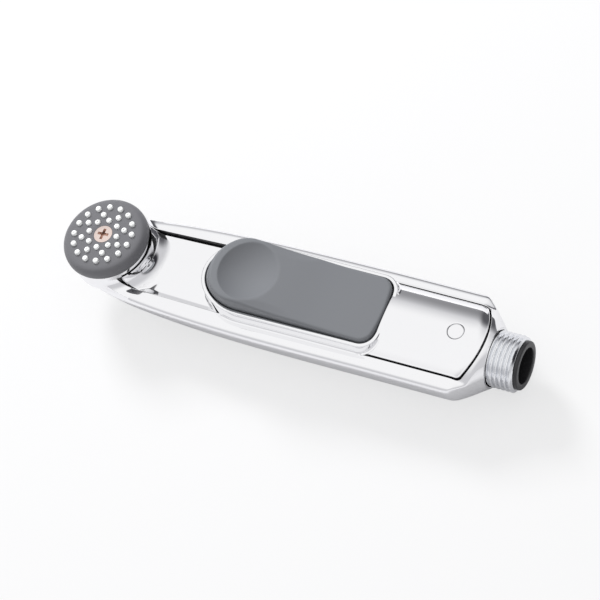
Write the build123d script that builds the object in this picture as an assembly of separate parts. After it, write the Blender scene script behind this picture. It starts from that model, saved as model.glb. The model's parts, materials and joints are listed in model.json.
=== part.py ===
from build123d import *
from math import cos, pi, radians, sin, sqrt
import os

# Handheld bidet shower that lies on its back.
# X runs from the spray head to the inlet, Z is up, and the middle of its length is X = 0.

# Driving dimensions in millimetres

# Casing
LENGTH = 181.8
BODY_WIDTH = 41.4
NECK_WIDTH = 31.4
WALL = 2.3
AXIS_HEIGHT = 14.5
CROWN_HEIGHT = 28.1
RIM_HEIGHT = 21.8
RIM_HEIGHT_AT_HEAD = 19.9
RIM_RADIUS = 3.0
RIM_DEPTH = 4.0
WIDEST_FROM_END = 57.0
WIDTH_POWER = 3.6
BACK_RISE = 8.9
BACK_POWER = 2.8
BELLY_FLAT = 0.8
NECK_LIFT = 2.5
NECK_TAPER = 0.8
NECK_LIFT_LENGTH = 18.3
STATION_SHARES = (0.055, 0.111, 0.169, 0.277, 0.406, 0.536, 0.665, 0.794, 0.905)
SHOULDER_FROM_END = 22.4
REAR_FACE_FROM_END = 11.5
REAR_WALL = 3.4

# Shoulder at the rear: distance from the end, half width, height of the widest place
# above the inlet axis, top above the axis, bottom below the axis
SHOULDER = (
    (24.0, 21.4, 4.3, 24.0, 16.5),
    (22.0, 20.7, 3.9, 21.0, 15.3),
    (20.0, 19.45, 3.4, 18.5, 14.5),
    (17.5, 17.35, 2.7, 16.0, 13.7),
    (15.0, 14.95, 1.8, 14.0, 12.7),
    (13.0, 12.9, 0.9, 12.5, 11.9),
    (11.5, 11.3, 0.0, 11.4, 11.4),
)

# Slope that bevels the rear of cover and rim
BEVEL_FROM_END = 16.5
BEVEL_SLOPE = 0.44
BEVEL_CROWN = 28.0
BEVEL_RIM = 19.8
BEVEL_SIDE = 22.0
BEVEL_SIDE_HEIGHT = 19.4
BEVEL_LEAD = 10.0

# Opening in the casing, which the cover closes
OPENING_HALF = 15.45
OPENING_HALF_AT_HEAD = 12.3
OPENING_CORNER_FROM_END = 19.0
OPENING_REAR_FROM_END = 13.4
OPENING_CORNER_RADIUS = 3.0
LEDGE_WIDTH = 1.6
COVER_GAP = 0.45
COVER_PLATE = 2.4

# Front panel of the cover
PANEL_HEIGHT = 18.0
PANEL_PLATE = 1.8
PANEL_EDGE_RISE = 0.6
PANEL_EDGE_WIDTH = 2.0

# Bezel round the lever
BEZEL_TOP = 26.8
BEZEL_WALL = 1.5
BEZEL_GAP = 0.45
SEAT_CLEARANCE = 0.1

# Thumb lever
LEVER_REAR_FROM_END = 53.0
LEVER_LENGTH = 70.5
LEVER_HALF = 13.4
LEVER_NOSE = 17.0
LEVER_CORNER = 5.0
LEVER_REAR_BOW = 1.4
LEVER_SKIRT_BOTTOM = 23.0
LEVER_REAR_HEIGHT = 28.0
LEVER_FRONT_HEIGHT = 33.1
LEVER_NOSE_INSET = 3.0
LEVER_TOP_NOSE = 12.0
LEVER_WALL = 2.0
LEVER_ROOF = 27.4
LEVER_DISH_ROOF = 26.8
LEVER_CREST_FROM_FRONT = 18.5
DISH_RADIUS = 19.0
DISH_CENTRE_HEIGHT = 47.6
DISH_FROM_FRONT = 18.4
SCALLOP_RADIUS = 110.0
SCALLOP_FROM_FRONT = 42.7
SCALLOP_SIDE = 40.0
SCALLOP_HEIGHT = 136.5
HINGE_FROM_REAR = 5.0
HINGE_HEIGHT = 21.0
HINGE_EAR_RADIUS = 3.2
PIN_RADIUS = 1.5
PIN_LENGTH = 29.6
PIN_CLEARANCE = 0.05
HOLE_CLEARANCE = 0.02

# Head cup, tilted towards the tip
HEAD_TILT = 5.0
CUP_TOP_HEIGHT = 26.1
CUP_TOP_RADIUS = 15.5
CUP_RADIUS = 15.6
CUP_WALL = 1.4
CUP_WIDEST_BELOW_TOP = 7.0
CUP_DEPTH = 16.0
CUP_ROOM_TAPER = 1.0

# Sweep from the neck up to the collar under the spray face
FLARE_BELOW_TOP = 1.9
FLARE_RADIUS = 6.1
PANEL_FLARE_RADIUS = 8.1

# Spray face
FACE_RADIUS = 16.4
FACE_EDGE = 2.0
FACE_THICKNESS = 5.5
FACE_CROWN = 0.35
FACE_FLOOR = 1.6
NOZZLE_RADIUS = 1.1
NOZZLE_TIP_RADIUS = 0.9
NOZZLE_HOLE = 0.35
NOZZLE_PROUD = 0.8
NOZZLE_RINGS = ((16, 11.5, 11.0), (8, 8.3, 22.5), (8, 5.8, 0.0))
NOZZLE_CLEARANCE = 0.06
PAD_THICKNESS = 1.5
PAD_RADIUS = 13.6
FACE_SCREW_RADIUS = 3.65
FACE_SCREW_HEAD = 2.4
FACE_SCREW_SHANK = 1.5
FACE_SCREW_LENGTH = 13.0

# Spray chamber and its snout
CHAMBER_RADIUS = 13.8
CHAMBER_WALL = 1.7
CHAMBER_DEPTH = 14.2
CHAMBER_POST = 3.4
WELL_FROM_HEAD = 9.5
SNOUT_FROM_HEAD = 28.0
SNOUT_RADIUS = 4.6
SNOUT_NARROW_RADIUS = 2.9
SNOUT_PASSAGE = 1.8
SNOUT_RISE = 1.0
SNOUT_SOCKET = 6.8
SEAL_WIRE = 0.5

# Water tube
TUBE_RADIUS = 2.7
TUBE_BORE = 1.9
TUBE_HEIGHT = 11.5
TUBE_FIT = 0.05

# Inlet nipple, G1/2 outside thread
THREAD_RADIUS = 10.4775
THREAD_END_FROM_END = 1.4
THREAD_CHAMFER = 0.9
THREAD_UNDERCUT = 0.5
NIPPLE_SHANK_RADIUS = 9.9
NIPPLE_BORE = 7.6
NIPPLE_FLANGE_RADIUS = 12.0
NIPPLE_FLANGE_FLAT = 9.8
NIPPLE_FLANGE_THICKNESS = 3.4
NIPPLE_STUB_RADIUS = 8.9
NIPPLE_STUB_LENGTH = 4.0
NIPPLE_HOLE_CLEARANCE = 0.08
CHECK_BORE = 6.5
CHECK_POCKET = 2.6
OUTLET_BORE = 4.0
SLEEVE_BORE = 6.75
SLEEVE_LIP_RADIUS = 9.05
SLEEVE_LENGTH = 13.0
SLEEVE_CHAMFER = 0.5
INSERT_CLEARANCE = 0.05
FILTER_THICKNESS = 1.5
CHECK_SEAT_THICKNESS = 2.2
CHECK_FLAP_RADIUS = 5.6
CHECK_FLAP_THICKNESS = 1.2

# Valve body
SOCKET_RADIUS = 10.9
SOCKET_FIT = 0.1
REAR_BORE = 4.0
REAR_BLOCK_LENGTH = 12.0
PIPE_RADIUS = 5.2
PIPE_BORE = 3.5
PIPE_HEIGHT = 10.0
VALVE_FROM_END = 97.0
TOWER_RADIUS = 9.3
TOWER_TOP = 21.7
CHAMBER_BOTTOM = 5.0
CHAMBER_BORE = 7.0
SEAT_LEVEL = 13.5
SEAT_THICKNESS = 2.0
SEAT_BORE = 3.6
SEAT_STEP = 1.0
OUTLET_HALF = 4.0
OUTLET_HEIGHT = 3.4
FRONT_BLOCK = 18.0
FRONT_BLOCK_HALF = 6.0
FRONT_SOCKET = 6.0
BODY_CLEARANCE = 0.3
BOSS_RADIUS = 3.3

# Valve stem and its seals
STEM_RADIUS = 2.5
STEM_FIT = 0.06
STEM_TOP = 27.1
STEM_PAD_RADIUS = 4.0
STEM_PAD_THICKNESS = 1.5
STEM_TIP_RADIUS = 1.5
DISC_RADIUS = 5.6
DISC_THICKNESS = 1.8
DISC_NUT_RADIUS = 5.3
DISC_NUT_THICKNESS = 0.8
DISC_NUT_HEX = 2.6
DISC_NUT_HEIGHT = 2.0
GLAND_SKIRT_WALL = 1.0
GLAND_FLOOR = 19.5
GLAND_TOP = 21.6
STEM_SEAL_RADIUS = 0.45
NUT_RADIUS = 10.4
NUT_TOP = 22.8
NUT_SKIRT = 3.4
NUT_HOLE = 4.6
SPRING_RADIUS = 4.4
SPRING_WIRE = 0.4
SPRING_TURNS = 3.0

# Screws
CAP_RADIUS = 3.05
CAP_THICKNESS = 1.0
CAP_CLEARANCE = 0.1
CAP_FROM_END = 24.7
COVER_SCREW_HEAD = 2.7
COVER_SCREW_HEAD_HEIGHT = 1.3
COVER_SCREW_SHANK = 1.4
COVER_SCREW_LENGTH = 5.0
COVER_SCREW_FLOOR = 1.2
PILOT_FLOOR = 1.5
BODY_SCREW_FROM_END = 45.0
BODY_SCREW_SIDE = 11.0
BODY_SCREW_HEAD = 2.7
BODY_SCREW_HEAD_HEIGHT = 1.7
BODY_SCREW_SHANK = 1.4
BODY_SCREW_LENGTH = 7.0
EAR_THICKNESS = 2.0
EAR_HEIGHT = 11.5
EAR_HALF_LENGTH = 4.0
PILOT_CLEARANCE = 0.05

# Places worked out from the dimensions
X_END = LENGTH / 2
X_TIP = -LENGTH / 2
X_HEAD = X_TIP + FACE_RADIUS * cos(radians(HEAD_TILT)) + FACE_EDGE * sin(radians(HEAD_TILT))
X_WIDEST = X_END - WIDEST_FROM_END
X_SHOULDER = X_END - SHOULDER_FROM_END
X_FACE = X_END - REAR_FACE_FROM_END
X_LEVER_REAR = X_END - LEVER_REAR_FROM_END
X_LEVER_FRONT = X_LEVER_REAR - LEVER_LENGTH
X_HINGE = X_LEVER_REAR - HINGE_FROM_REAR
X_LEDGE = X_HINGE + HINGE_EAR_RADIUS + WALL + BODY_CLEARANCE
X_VALVE = X_END - VALVE_FROM_END
X_CAP = X_END - CAP_FROM_END
X_EARS = X_END - BODY_SCREW_FROM_END
X_THREAD_END = X_END - THREAD_END_FROM_END
X_FLANGE_REAR = X_FACE - REAR_WALL
X_FLANGE_FRONT = X_FLANGE_REAR - NIPPLE_FLANGE_THICKNESS
X_STUB = X_FLANGE_FRONT - NIPPLE_STUB_LENGTH
X_SLEEVE = X_END - SLEEVE_LENGTH
X_FILTER = X_SLEEVE - FILTER_THICKNESS
X_CHECK = X_FILTER - CHECK_SEAT_THICKNESS
X_SNOUT = X_HEAD + SNOUT_FROM_HEAD
X_TUBE_FRONT = X_SNOUT - SNOUT_SOCKET + BODY_CLEARANCE
X_FRONT_BLOCK = X_VALVE - FRONT_BLOCK
X_TUBE_REAR = X_FRONT_BLOCK + FRONT_SOCKET - BODY_CLEARANCE
HEAD = Pos(X_HEAD, 0, CUP_TOP_HEIGHT) * Rot(0, -HEAD_TILT, 0)
AXIS_Z = AXIS_HEIGHT
TALL = 60.0


# Helpers


def rod_x(radius, start, end, height=AXIS_Z, side=0.0):
    turned = Pos(start, side, height) * Rot(0, 90, 0)
    return turned * Cylinder(radius, end - start, align=(Align.CENTER, Align.CENTER, Align.MIN))


def rod_y(radius, start, end, x, height):
    turned = Pos(x, start, height) * Rot(-90, 0, 0)
    return turned * Cylinder(radius, end - start, align=(Align.CENTER, Align.CENTER, Align.MIN))


def rod_z(radius, start, end, x=0.0, side=0.0):
    lifted = Pos(x, side, start)
    return lifted * Cylinder(radius, end - start, align=(Align.CENTER, Align.CENTER, Align.MIN))


def block(x0, x1, y0, y1, z0, z1):
    return Pos(x0, y0, z0) * Box(x1 - x0, y1 - y0, z1 - z0, align=(Align.MIN, Align.MIN, Align.MIN))


def cross_plane(x):
    return Plane(origin=(x, 0, 0), x_dir=(0, 1, 0), z_dir=(1, 0, 0))


# Outer form of the casing


def neck_share(x):
    """One at the head's centre, zero where the neck's extra taper begins."""
    return max(0.0, X_HEAD + NECK_LIFT_LENGTH - x) / NECK_LIFT_LENGTH


def half_width(x):
    if x >= X_WIDEST:
        return BODY_WIDTH / 2
    share = (X_WIDEST - x) / (X_WIDEST - X_HEAD)
    narrowing = (BODY_WIDTH - NECK_WIDTH) / 2 * share**WIDTH_POWER
    return BODY_WIDTH / 2 - narrowing - NECK_TAPER * neck_share(x) ** 2


def rim_height(x):
    if x >= X_WIDEST:
        return RIM_HEIGHT
    share = (X_WIDEST - x) / (X_WIDEST - X_HEAD)
    return RIM_HEIGHT - (RIM_HEIGHT - RIM_HEIGHT_AT_HEAD) * share


def back_height(x):
    if x >= X_WIDEST:
        return 0.0
    share = (X_WIDEST - x) / (X_WIDEST - X_HEAD)
    return BACK_RISE * share**BACK_POWER + NECK_LIFT * neck_share(x) ** 2


def boat_section(x, inset, drop):
    """Cross-section with a flat deck, round rim corners and a half-ellipse below.

    The ellipse reaches a little below the table, where the casing is cut flat to lie still.
    """
    half = half_width(x) - inset
    deck = rim_height(x) - drop
    corner = RIM_RADIUS - inset / 2
    side = deck - corner
    bottom = back_height(x) + inset - BELLY_FLAT
    right = CenterArc((half - corner, side), corner, 0, 90)
    left = CenterArc((corner - half, side), corner, 90, 90)
    deck_line = Line(right @ 1, left @ 0)
    lower = EllipticalCenterArc((0, side), half, side - bottom, 180, arc_size=180)
    return cross_plane(x) * make_face([right, deck_line, left, lower])


def boat(start, inset, drop):
    """Front of the casing from a station near the head to the widest place."""
    run = X_WIDEST - X_HEAD
    stations = [X_HEAD + run * share for share in STATION_SHARES]
    later = [x for x in stations if x > start + 1] + [X_WIDEST]
    return loft([boat_section(x, inset, drop) for x in [start] + later])


def crown_block(start, end, drop):
    """Crowned bar: an arc over the opening's width, flat below."""
    top = CROWN_HEIGHT - drop
    edge = RIM_HEIGHT - drop
    arc = ThreePointArc((OPENING_HALF, edge), (0, top), (-OPENING_HALF, edge))
    floor = AXIS_Z
    sides = Polyline(arc @ 1, (-OPENING_HALF, floor), (OPENING_HALF, floor), arc @ 0)
    face = cross_plane(start) * make_face([arc, sides])
    return extrude(face, end - start)


def shoulder_dome():
    """Rounding of the rear of the casing down to the inlet, from half-ellipse stations."""
    sections = []
    for from_end, half, level, top, bottom in SHOULDER:
        upper = EllipticalCenterArc((0, level), half, top - level, 0, arc_size=180)
        lower = EllipticalCenterArc((0, level), half, bottom + level, 180, arc_size=180)
        face = cross_plane(X_END - from_end) * Pos(0, AXIS_Z) * make_face([upper, lower])
        sections.append(face)
    start = X_END - SHOULDER[0][0]
    return loft(sections) + block(X_WIDEST - WALL, start, -TALL, TALL, -1, TALL)


def bevel_form():
    """Body under a slope that falls to the rear, its fold bowed in plan."""
    rise = BEVEL_LEAD * BEVEL_SLOPE
    start = X_END - BEVEL_FROM_END - BEVEL_LEAD
    arc = ThreePointArc((OPENING_HALF, BEVEL_RIM), (0, BEVEL_CROWN), (-OPENING_HALF, BEVEL_RIM))
    side = BEVEL_SIDE
    low = -TALL
    rest = Polyline(
        arc @ 1,
        (-side, BEVEL_SIDE_HEIGHT),
        (-side, low),
        (side, low),
        (side, BEVEL_SIDE_HEIGHT),
        arc @ 0,
    )
    face = cross_plane(start) * Pos(0, rise) * make_face([arc, rest])
    sloped = extrude(face, amount=TALL, dir=(1, 0, -BEVEL_SLOPE))
    return sloped + block(X_WIDEST - WALL, start, -TALL, TALL, -TALL, TALL)


def rear_form():
    straight = extrude(boat_section(X_WIDEST, 0, 0), X_FACE - X_WIDEST)
    form = straight + crown_block(X_WIDEST, X_FACE, 0)
    return form & bevel_form() & shoulder_dome()


def cup_form():
    """Round bowl with an elliptical bottom."""
    level = -CUP_WIDEST_BELOW_TOP
    bowl = EllipticalCenterArc((0, level), CUP_RADIUS, CUP_DEPTH + level, 270, arc_size=90)
    rest = Polyline(bowl @ 1, (CUP_TOP_RADIUS, 0), (0, 0), bowl @ 0)
    return HEAD * revolve(Plane.XZ * make_face([bowl, rest]), Axis.Z)


def head_flare(radius, start):
    """Concave sweep round the head, from the neck up to the collar."""
    top = -FLARE_BELOW_TOP
    foot = top - radius
    sweep = CenterArc((start + radius, top), radius, 180, 90)
    inner = CUP_TOP_RADIUS - CUP_WALL
    low = foot - RIM_RADIUS
    rest = Polyline(sweep @ 1, (start + radius, low), (inner, low), (inner, top), sweep @ 0)
    return HEAD * revolve(Plane.XZ * make_face([sweep, rest]), Axis.Z)


def cup_room(radius, depth, top):
    """Cylinder over a cone, in the head's frame, for the chamber and its space."""
    level = -CUP_WIDEST_BELOW_TOP
    height = depth + level
    foot = radius - CUP_ROOM_TAPER * height
    cone = Cone(foot, radius, height, align=(Align.CENTER, Align.CENTER, Align.MAX))
    return rod_z(radius, level, top) + Pos(0, 0, level) * cone


def cover_outline(inset):
    """Plan of the opening in the casing, drawn inset on every side."""
    half = OPENING_HALF - inset
    front_half = OPENING_HALF_AT_HEAD - inset
    corner = X_END - OPENING_CORNER_FROM_END - inset
    rear = X_END - OPENING_REAR_FROM_END - inset
    arc = ThreePointArc((corner, half), (rear, 0), (corner, -half))
    sides = Polyline(arc @ 1, (X_WIDEST, -half), (X_HEAD, -front_half))
    others = Polyline((X_HEAD, -front_half), (X_HEAD, front_half), (X_WIDEST, half), arc @ 0)
    face = make_face([arc, sides, others])
    ends = [v for v in face.vertices() if abs(v.X - corner) < 0.01]
    return fillet(ends, OPENING_CORNER_RADIUS)


def cover_prism(inset, bottom):
    return extrude(Pos(0, 0, bottom) * cover_outline(inset), TALL)


# Casing and cover


def body_shell():
    sides = head_flare(FLARE_RADIUS, CUP_TOP_RADIUS) & boat(X_HEAD, 0, -CUP_TOP_HEIGHT / 3)
    shell = boat(X_HEAD, 0, 0) + rear_form() + sides
    shell = shell & block(X_TIP, X_END, -TALL, TALL, 0, TALL)
    neck_start = X_HEAD + CUP_RADIUS
    hollow = boat(neck_start, WALL, RIM_DEPTH)
    straight = extrude(boat_section(X_WIDEST, WALL, RIM_DEPTH), X_SHOULDER - X_WIDEST)
    shell = shell - hollow - straight
    shell = shell + screw_bosses()
    opening = cover_prism(0, RIM_HEIGHT - COVER_PLATE - SEAT_CLEARANCE)
    front_cut = cover_prism(0, AXIS_Z) & block(X_TIP, X_LEDGE, -TALL, TALL, 0, TALL)
    inner_cut = cover_prism(LEDGE_WIDTH, AXIS_Z + BODY_CLEARANCE)
    rear_limit = block(X_TIP, X_FLANGE_REAR, -TALL, TALL, 0, TALL)
    shell = shell - opening - front_cut - (inner_cut & rear_limit)
    shell = shell + cup_form() + (HEAD * rod_z(CUP_TOP_RADIUS, -CUP_DEPTH, 0) & boat(X_HEAD, 0, 0))
    pocket = rod_x(NIPPLE_FLANGE_RADIUS + BODY_CLEARANCE, X_SHOULDER - WALL, X_FLANGE_REAR)
    pocket_floor = AXIS_Z - NIPPLE_FLANGE_FLAT - BODY_CLEARANCE
    pocket = pocket & block(X_TIP, X_END, -TALL, TALL, pocket_floor, TALL)
    inlet_hole = rod_x(THREAD_RADIUS + NIPPLE_HOLE_CLEARANCE, X_SHOULDER, X_END)
    shell = shell - pocket - inlet_hole
    bore = CUP_RADIUS - CUP_WALL
    shell = shell - HEAD * cup_room(bore, CHAMBER_DEPTH + BODY_CLEARANCE, FACE_EDGE)
    shell = shell - snout_form(BODY_CLEARANCE)
    for side in (-BODY_SCREW_SIDE, BODY_SCREW_SIDE):
        pilot = rod_z(BODY_SCREW_SHANK + PILOT_CLEARANCE, 0, TALL, X_EARS, side)
        shell = shell - (pilot & ear_boss_zone())
    return shell


def ear_boss_zone():
    bottom = EAR_HEIGHT - BODY_SCREW_LENGTH + EAR_THICKNESS - BODY_CLEARANCE
    return block(X_SHOULDER - TALL, X_SHOULDER, -TALL, TALL, bottom, EAR_HEIGHT)


def screw_bosses():
    """Two posts that carry the valve body's ears."""
    outer = extrude(boat_section(X_WIDEST, WALL / 2, 0), X_SHOULDER - X_WIDEST)
    posts = [
        rod_z(BOSS_RADIUS, 0, EAR_HEIGHT, X_EARS, side)
        for side in (-BODY_SCREW_SIDE, BODY_SCREW_SIDE)
    ]
    return (posts[0] + posts[1]) & outer


def lever_outline(grow):
    """Plan of the lever: half-ellipse nose, straight sides, bowed rear with round corners."""
    half = LEVER_HALF + grow
    nose = X_LEVER_FRONT + LEVER_NOSE
    rear = X_LEVER_REAR + grow
    corner = rear - LEVER_REAR_BOW
    front = EllipticalCenterArc((nose, 0), LEVER_NOSE + grow, half, 90, arc_size=180)
    back = ThreePointArc((corner, -half), (rear, 0), (corner, half))
    lower = Line(front @ 1, back @ 0)
    upper = Line(back @ 1, front @ 0)
    face = make_face([front, lower, back, upper])
    ends = [v for v in face.vertices() if abs(v.X - corner) < 0.01]
    return fillet(ends, LEVER_CORNER + grow)


def bezel_ring():
    outer = Pos(0, 0, AXIS_Z) * lever_outline(BEZEL_GAP + BEZEL_WALL)
    ring = extrude(outer, BEZEL_TOP - AXIS_Z)
    return ring - lever_well()


def lever_well():
    return extrude(lever_outline(BEZEL_GAP), TALL)


def front_panel():
    """Sunk panel between head and lever, with sloping edge strips."""
    top = PANEL_HEIGHT + PANEL_EDGE_RISE
    panel = cover_prism(COVER_GAP, PANEL_HEIGHT - PANEL_PLATE)
    panel = panel & block(X_HEAD, X_LEVER_FRONT + LEVER_NOSE / 2, -TALL, TALL, 0, top)
    wide = Pos(0, 0, top) * cover_outline(COVER_GAP)
    narrow = Pos(0, 0, PANEL_HEIGHT) * cover_outline(COVER_GAP + PANEL_EDGE_WIDTH)
    panel = panel - loft([narrow, wide])
    sweep = head_flare(PANEL_FLARE_RADIUS, CUP_TOP_RADIUS + COVER_GAP)
    sweep = sweep & cover_prism(COVER_GAP, PANEL_HEIGHT - PANEL_PLATE)
    collar = HEAD * rod_z(CUP_TOP_RADIUS + COVER_GAP, -TALL, TALL)
    return panel + sweep - collar - lever_well()


def top_cover():
    clear = cover_prism(COVER_GAP, AXIS_Z)
    rear_start = X_LEVER_REAR - 2 * LEVER_CORNER
    form = rear_form()
    plate = (form & clear) - Pos(0, 0, -COVER_PLATE) * form
    plate = plate & block(rear_start, X_END, -TALL, TALL, AXIS_Z, TALL)
    ring = bezel_ring()
    deck = Pos(0, 0, SEAT_CLEARANCE) * (boat(X_HEAD, 0, 0) + form)
    over = ring - deck
    front_zone = block(X_TIP, X_LEVER_FRONT + LEVER_NOSE / 2, -TALL, TALL, 0, TALL)
    inside = ring & clear
    front_wall = inside & front_zone & rod_free(PANEL_HEIGHT - PANEL_PLATE)
    ears = inside & hinge_zone()
    cover = over + front_wall + ears + (plate - lever_well()) + front_panel()
    cover = cover - pin_hole(HOLE_CLEARANCE)
    cover = cover + screw_well()
    return cover - screw_holes() - flange_room()


def flange_room():
    """Space for the nipple's flange and thread under the rear of the cover."""
    gap = BODY_CLEARANCE
    flange = rod_x(NIPPLE_FLANGE_RADIUS + gap, X_FLANGE_FRONT - gap, X_FLANGE_REAR + gap)
    top = AXIS_Z + NIPPLE_FLANGE_FLAT + gap
    flange = flange & block(X_TIP, X_END, -TALL, TALL, 0, top)
    return flange + rod_x(THREAD_RADIUS + gap, X_FLANGE_FRONT, X_END)


def rod_free(bottom):
    return block(X_TIP, X_END, -TALL, TALL, bottom, TALL)


def hinge_zone():
    half = HINGE_EAR_RADIUS + WALL
    floor = HINGE_HEIGHT - HINGE_EAR_RADIUS
    return block(X_HINGE - half, X_HINGE + half, -TALL, TALL, floor, TALL)


def pin_hole(clearance):
    half = PIN_LENGTH / 2 + BODY_CLEARANCE
    return rod_y(PIN_RADIUS + clearance, -half, half, X_HINGE, HINGE_HEIGHT)


def screw_seat_height():
    return CROWN_HEIGHT - CAP_THICKNESS - COVER_SCREW_HEAD_HEIGHT - CAP_CLEARANCE


def screw_well():
    """Short boss under the cover that takes the screw's head."""
    bottom = screw_seat_height() - COVER_SCREW_FLOOR
    return rod_z(CAP_RADIUS + COVER_SCREW_FLOOR, bottom, CROWN_HEIGHT - WALL, X_CAP)


def screw_holes():
    seat = screw_seat_height()
    cap = rod_z(CAP_RADIUS + CAP_CLEARANCE, seat, TALL, X_CAP)
    shank = rod_z(COVER_SCREW_SHANK + CAP_CLEARANCE, 0, TALL, X_CAP)
    return cap + shank


def screw_cap():
    bottom = screw_seat_height() + COVER_SCREW_HEAD_HEIGHT
    cap = rod_z(CAP_RADIUS, bottom, CROWN_HEIGHT, X_CAP)
    return fillet(cap.edges().group_by(Axis.Z)[-1], CAP_THICKNESS / 4)


def cover_screw():
    seat = screw_seat_height()
    head = rod_z(COVER_SCREW_HEAD, seat, seat + COVER_SCREW_HEAD_HEIGHT, X_CAP)
    shank = rod_z(COVER_SCREW_SHANK, seat - COVER_SCREW_LENGTH, seat, X_CAP)
    return head + shank - cross_slot(seat + COVER_SCREW_HEAD_HEIGHT, COVER_SCREW_HEAD, X_CAP, 0)


def cross_slot(top, head_radius, x, side):
    """Cross recess in a screw's head."""
    reach = head_radius * 0.62
    half = head_radius * 0.12
    depth = head_radius * 0.3
    one = block(x - reach, x + reach, side - half, side + half, top - depth, top + depth)
    other = block(x - half, x + half, side - reach, side + reach, top - depth, top + depth)
    return one + other


# Lever and its pin


def lever_top_profile():
    """Side view of the lever's top: low and flat at the rear, rising to the dish."""
    rear = X_LEVER_REAR + BEZEL_GAP
    front = X_LEVER_FRONT - BEZEL_GAP
    rise = LEVER_FRONT_HEIGHT - LEVER_REAR_HEIGHT
    crest = X_LEVER_FRONT + LEVER_CREST_FROM_FRONT
    run = rear - crest
    curve = Spline(
        (rear, LEVER_REAR_HEIGHT),
        (crest + run * 0.54, LEVER_REAR_HEIGHT + rise * 0.25),
        (crest + run * 0.25, LEVER_REAR_HEIGHT + rise * 0.63),
        (crest, LEVER_REAR_HEIGHT + rise * 0.93),
        (front, LEVER_FRONT_HEIGHT),
    )
    floor = LEVER_SKIRT_BOTTOM
    rest = Polyline(curve @ 1, (front, floor), (rear, floor), curve @ 0)
    face = Plane.XZ * make_face([curve, rest])
    return extrude(face, TALL / 2, both=True)


def lever_core():
    """Skirt with straight walls, and above the bezel a nose that leans back."""
    rise = BEZEL_TOP - LEVER_SKIRT_BOTTOM
    skirt = extrude(Pos(0, 0, LEVER_SKIRT_BOTTOM) * lever_outline(0), rise)
    low = Pos(0, 0, BEZEL_TOP) * lever_plan(X_LEVER_FRONT, LEVER_NOSE)
    top_front = X_LEVER_FRONT + LEVER_NOSE_INSET
    high = Pos(0, 0, LEVER_FRONT_HEIGHT) * lever_plan(top_front, LEVER_TOP_NOSE)
    return skirt + loft([low, high])


def lever_plan(front, nose):
    """Lever plan with a half-ellipse nose of the given length, the rear as in the outline."""
    corner = X_LEVER_REAR - LEVER_REAR_BOW
    half = LEVER_HALF
    tip = EllipticalCenterArc((front + nose, 0), nose, half, 90, arc_size=180)
    back = ThreePointArc((corner, -half), (X_LEVER_REAR, 0), (corner, half))
    face = make_face([tip, Line(tip @ 1, back @ 0), back, Line(back @ 1, tip @ 0)])
    ends = [v for v in face.vertices() if abs(v.X - corner) < 0.01]
    return fillet(ends, LEVER_CORNER)


def lever_hollow():
    plan = extrude(lever_outline(-LEVER_WALL), TALL)
    rear = X_LEVER_REAR
    step = X_VALVE - STEM_PAD_RADIUS - 1
    bend = X_VALVE + STEM_PAD_RADIUS * 2
    low = LEVER_REAR_HEIGHT - LEVER_WALL
    side = Polyline(
        (X_TIP, 0),
        (rear, 0),
        (rear, low),
        (bend, LEVER_ROOF),
        (step, LEVER_ROOF),
        (step, LEVER_DISH_ROOF),
        (X_TIP, LEVER_DISH_ROOF),
        close=True,
    )
    roof = extrude(Plane.XZ * make_face(side), TALL / 2, both=True)
    return plan & roof


def thumb_lever():
    lever = lever_core() & lever_top_profile()
    lever = lever - lever_hollow()
    dish_x = X_LEVER_FRONT + DISH_FROM_FRONT
    lever = lever - Pos(dish_x, 0, DISH_CENTRE_HEIGHT) * Sphere(DISH_RADIUS)
    scallop_x = X_LEVER_FRONT + SCALLOP_FROM_FRONT
    for side in (-SCALLOP_SIDE, SCALLOP_SIDE):
        lever = lever - Pos(scallop_x, side, SCALLOP_HEIGHT) * Sphere(SCALLOP_RADIUS)
    lever = lever + (hinge_ears() & extrude(lever_outline(0), TALL))
    return lever - rod_y(PIN_RADIUS + PIN_CLEARANCE, -TALL / 2, TALL / 2, X_HINGE, HINGE_HEIGHT)


def hinge_ears():
    """Two ears inside the lever's skirt that turn on the pin."""
    drop = HINGE_HEIGHT
    radius = HINGE_EAR_RADIUS
    barrel = rod_y(radius, -LEVER_HALF, LEVER_HALF, X_HINGE, drop)
    roof = LEVER_REAR_HEIGHT - LEVER_WALL / 2
    web = block(X_HINGE - radius, X_HINGE + radius, -LEVER_HALF, LEVER_HALF, drop, roof)
    middle = LEVER_HALF - 2 * LEVER_WALL
    return barrel + web - block(X_TIP, X_END, -middle, middle, 0, TALL)


def lever_pin():
    pin = rod_y(PIN_RADIUS, -PIN_LENGTH / 2, PIN_LENGTH / 2, X_HINGE, HINGE_HEIGHT)
    return chamfer(pin.edges().filter_by(GeomType.CIRCLE), PIN_RADIUS / 5)


# Head


def nozzle_places():
    places = []
    for count, radius, start in NOZZLE_RINGS:
        for i in range(count):
            angle = radians(start + 360 * i / count)
            places.append((radius * cos(angle), radius * sin(angle)))
    return places


def face_form():
    """Domed disc with a rounded edge, in the head's frame."""
    edge = FACE_RADIUS
    top = FACE_THICKNESS
    side = FACE_EDGE
    rounding = ThreePointArc(
        (edge, side), (edge - 0.65, top - 1.75), (edge - 3.0, top - FACE_CROWN)
    )
    dome = ThreePointArc(rounding @ 1, (edge / 2, top - FACE_CROWN / 4), (0, top))
    foot = SEAT_CLEARANCE
    rest = Polyline(dome @ 1, (0, foot), (edge - 0.7, foot), (edge, foot + 0.7), rounding @ 0)
    return revolve(Plane.XZ * make_face([rounding, dome, rest]), Axis.Z)


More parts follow.
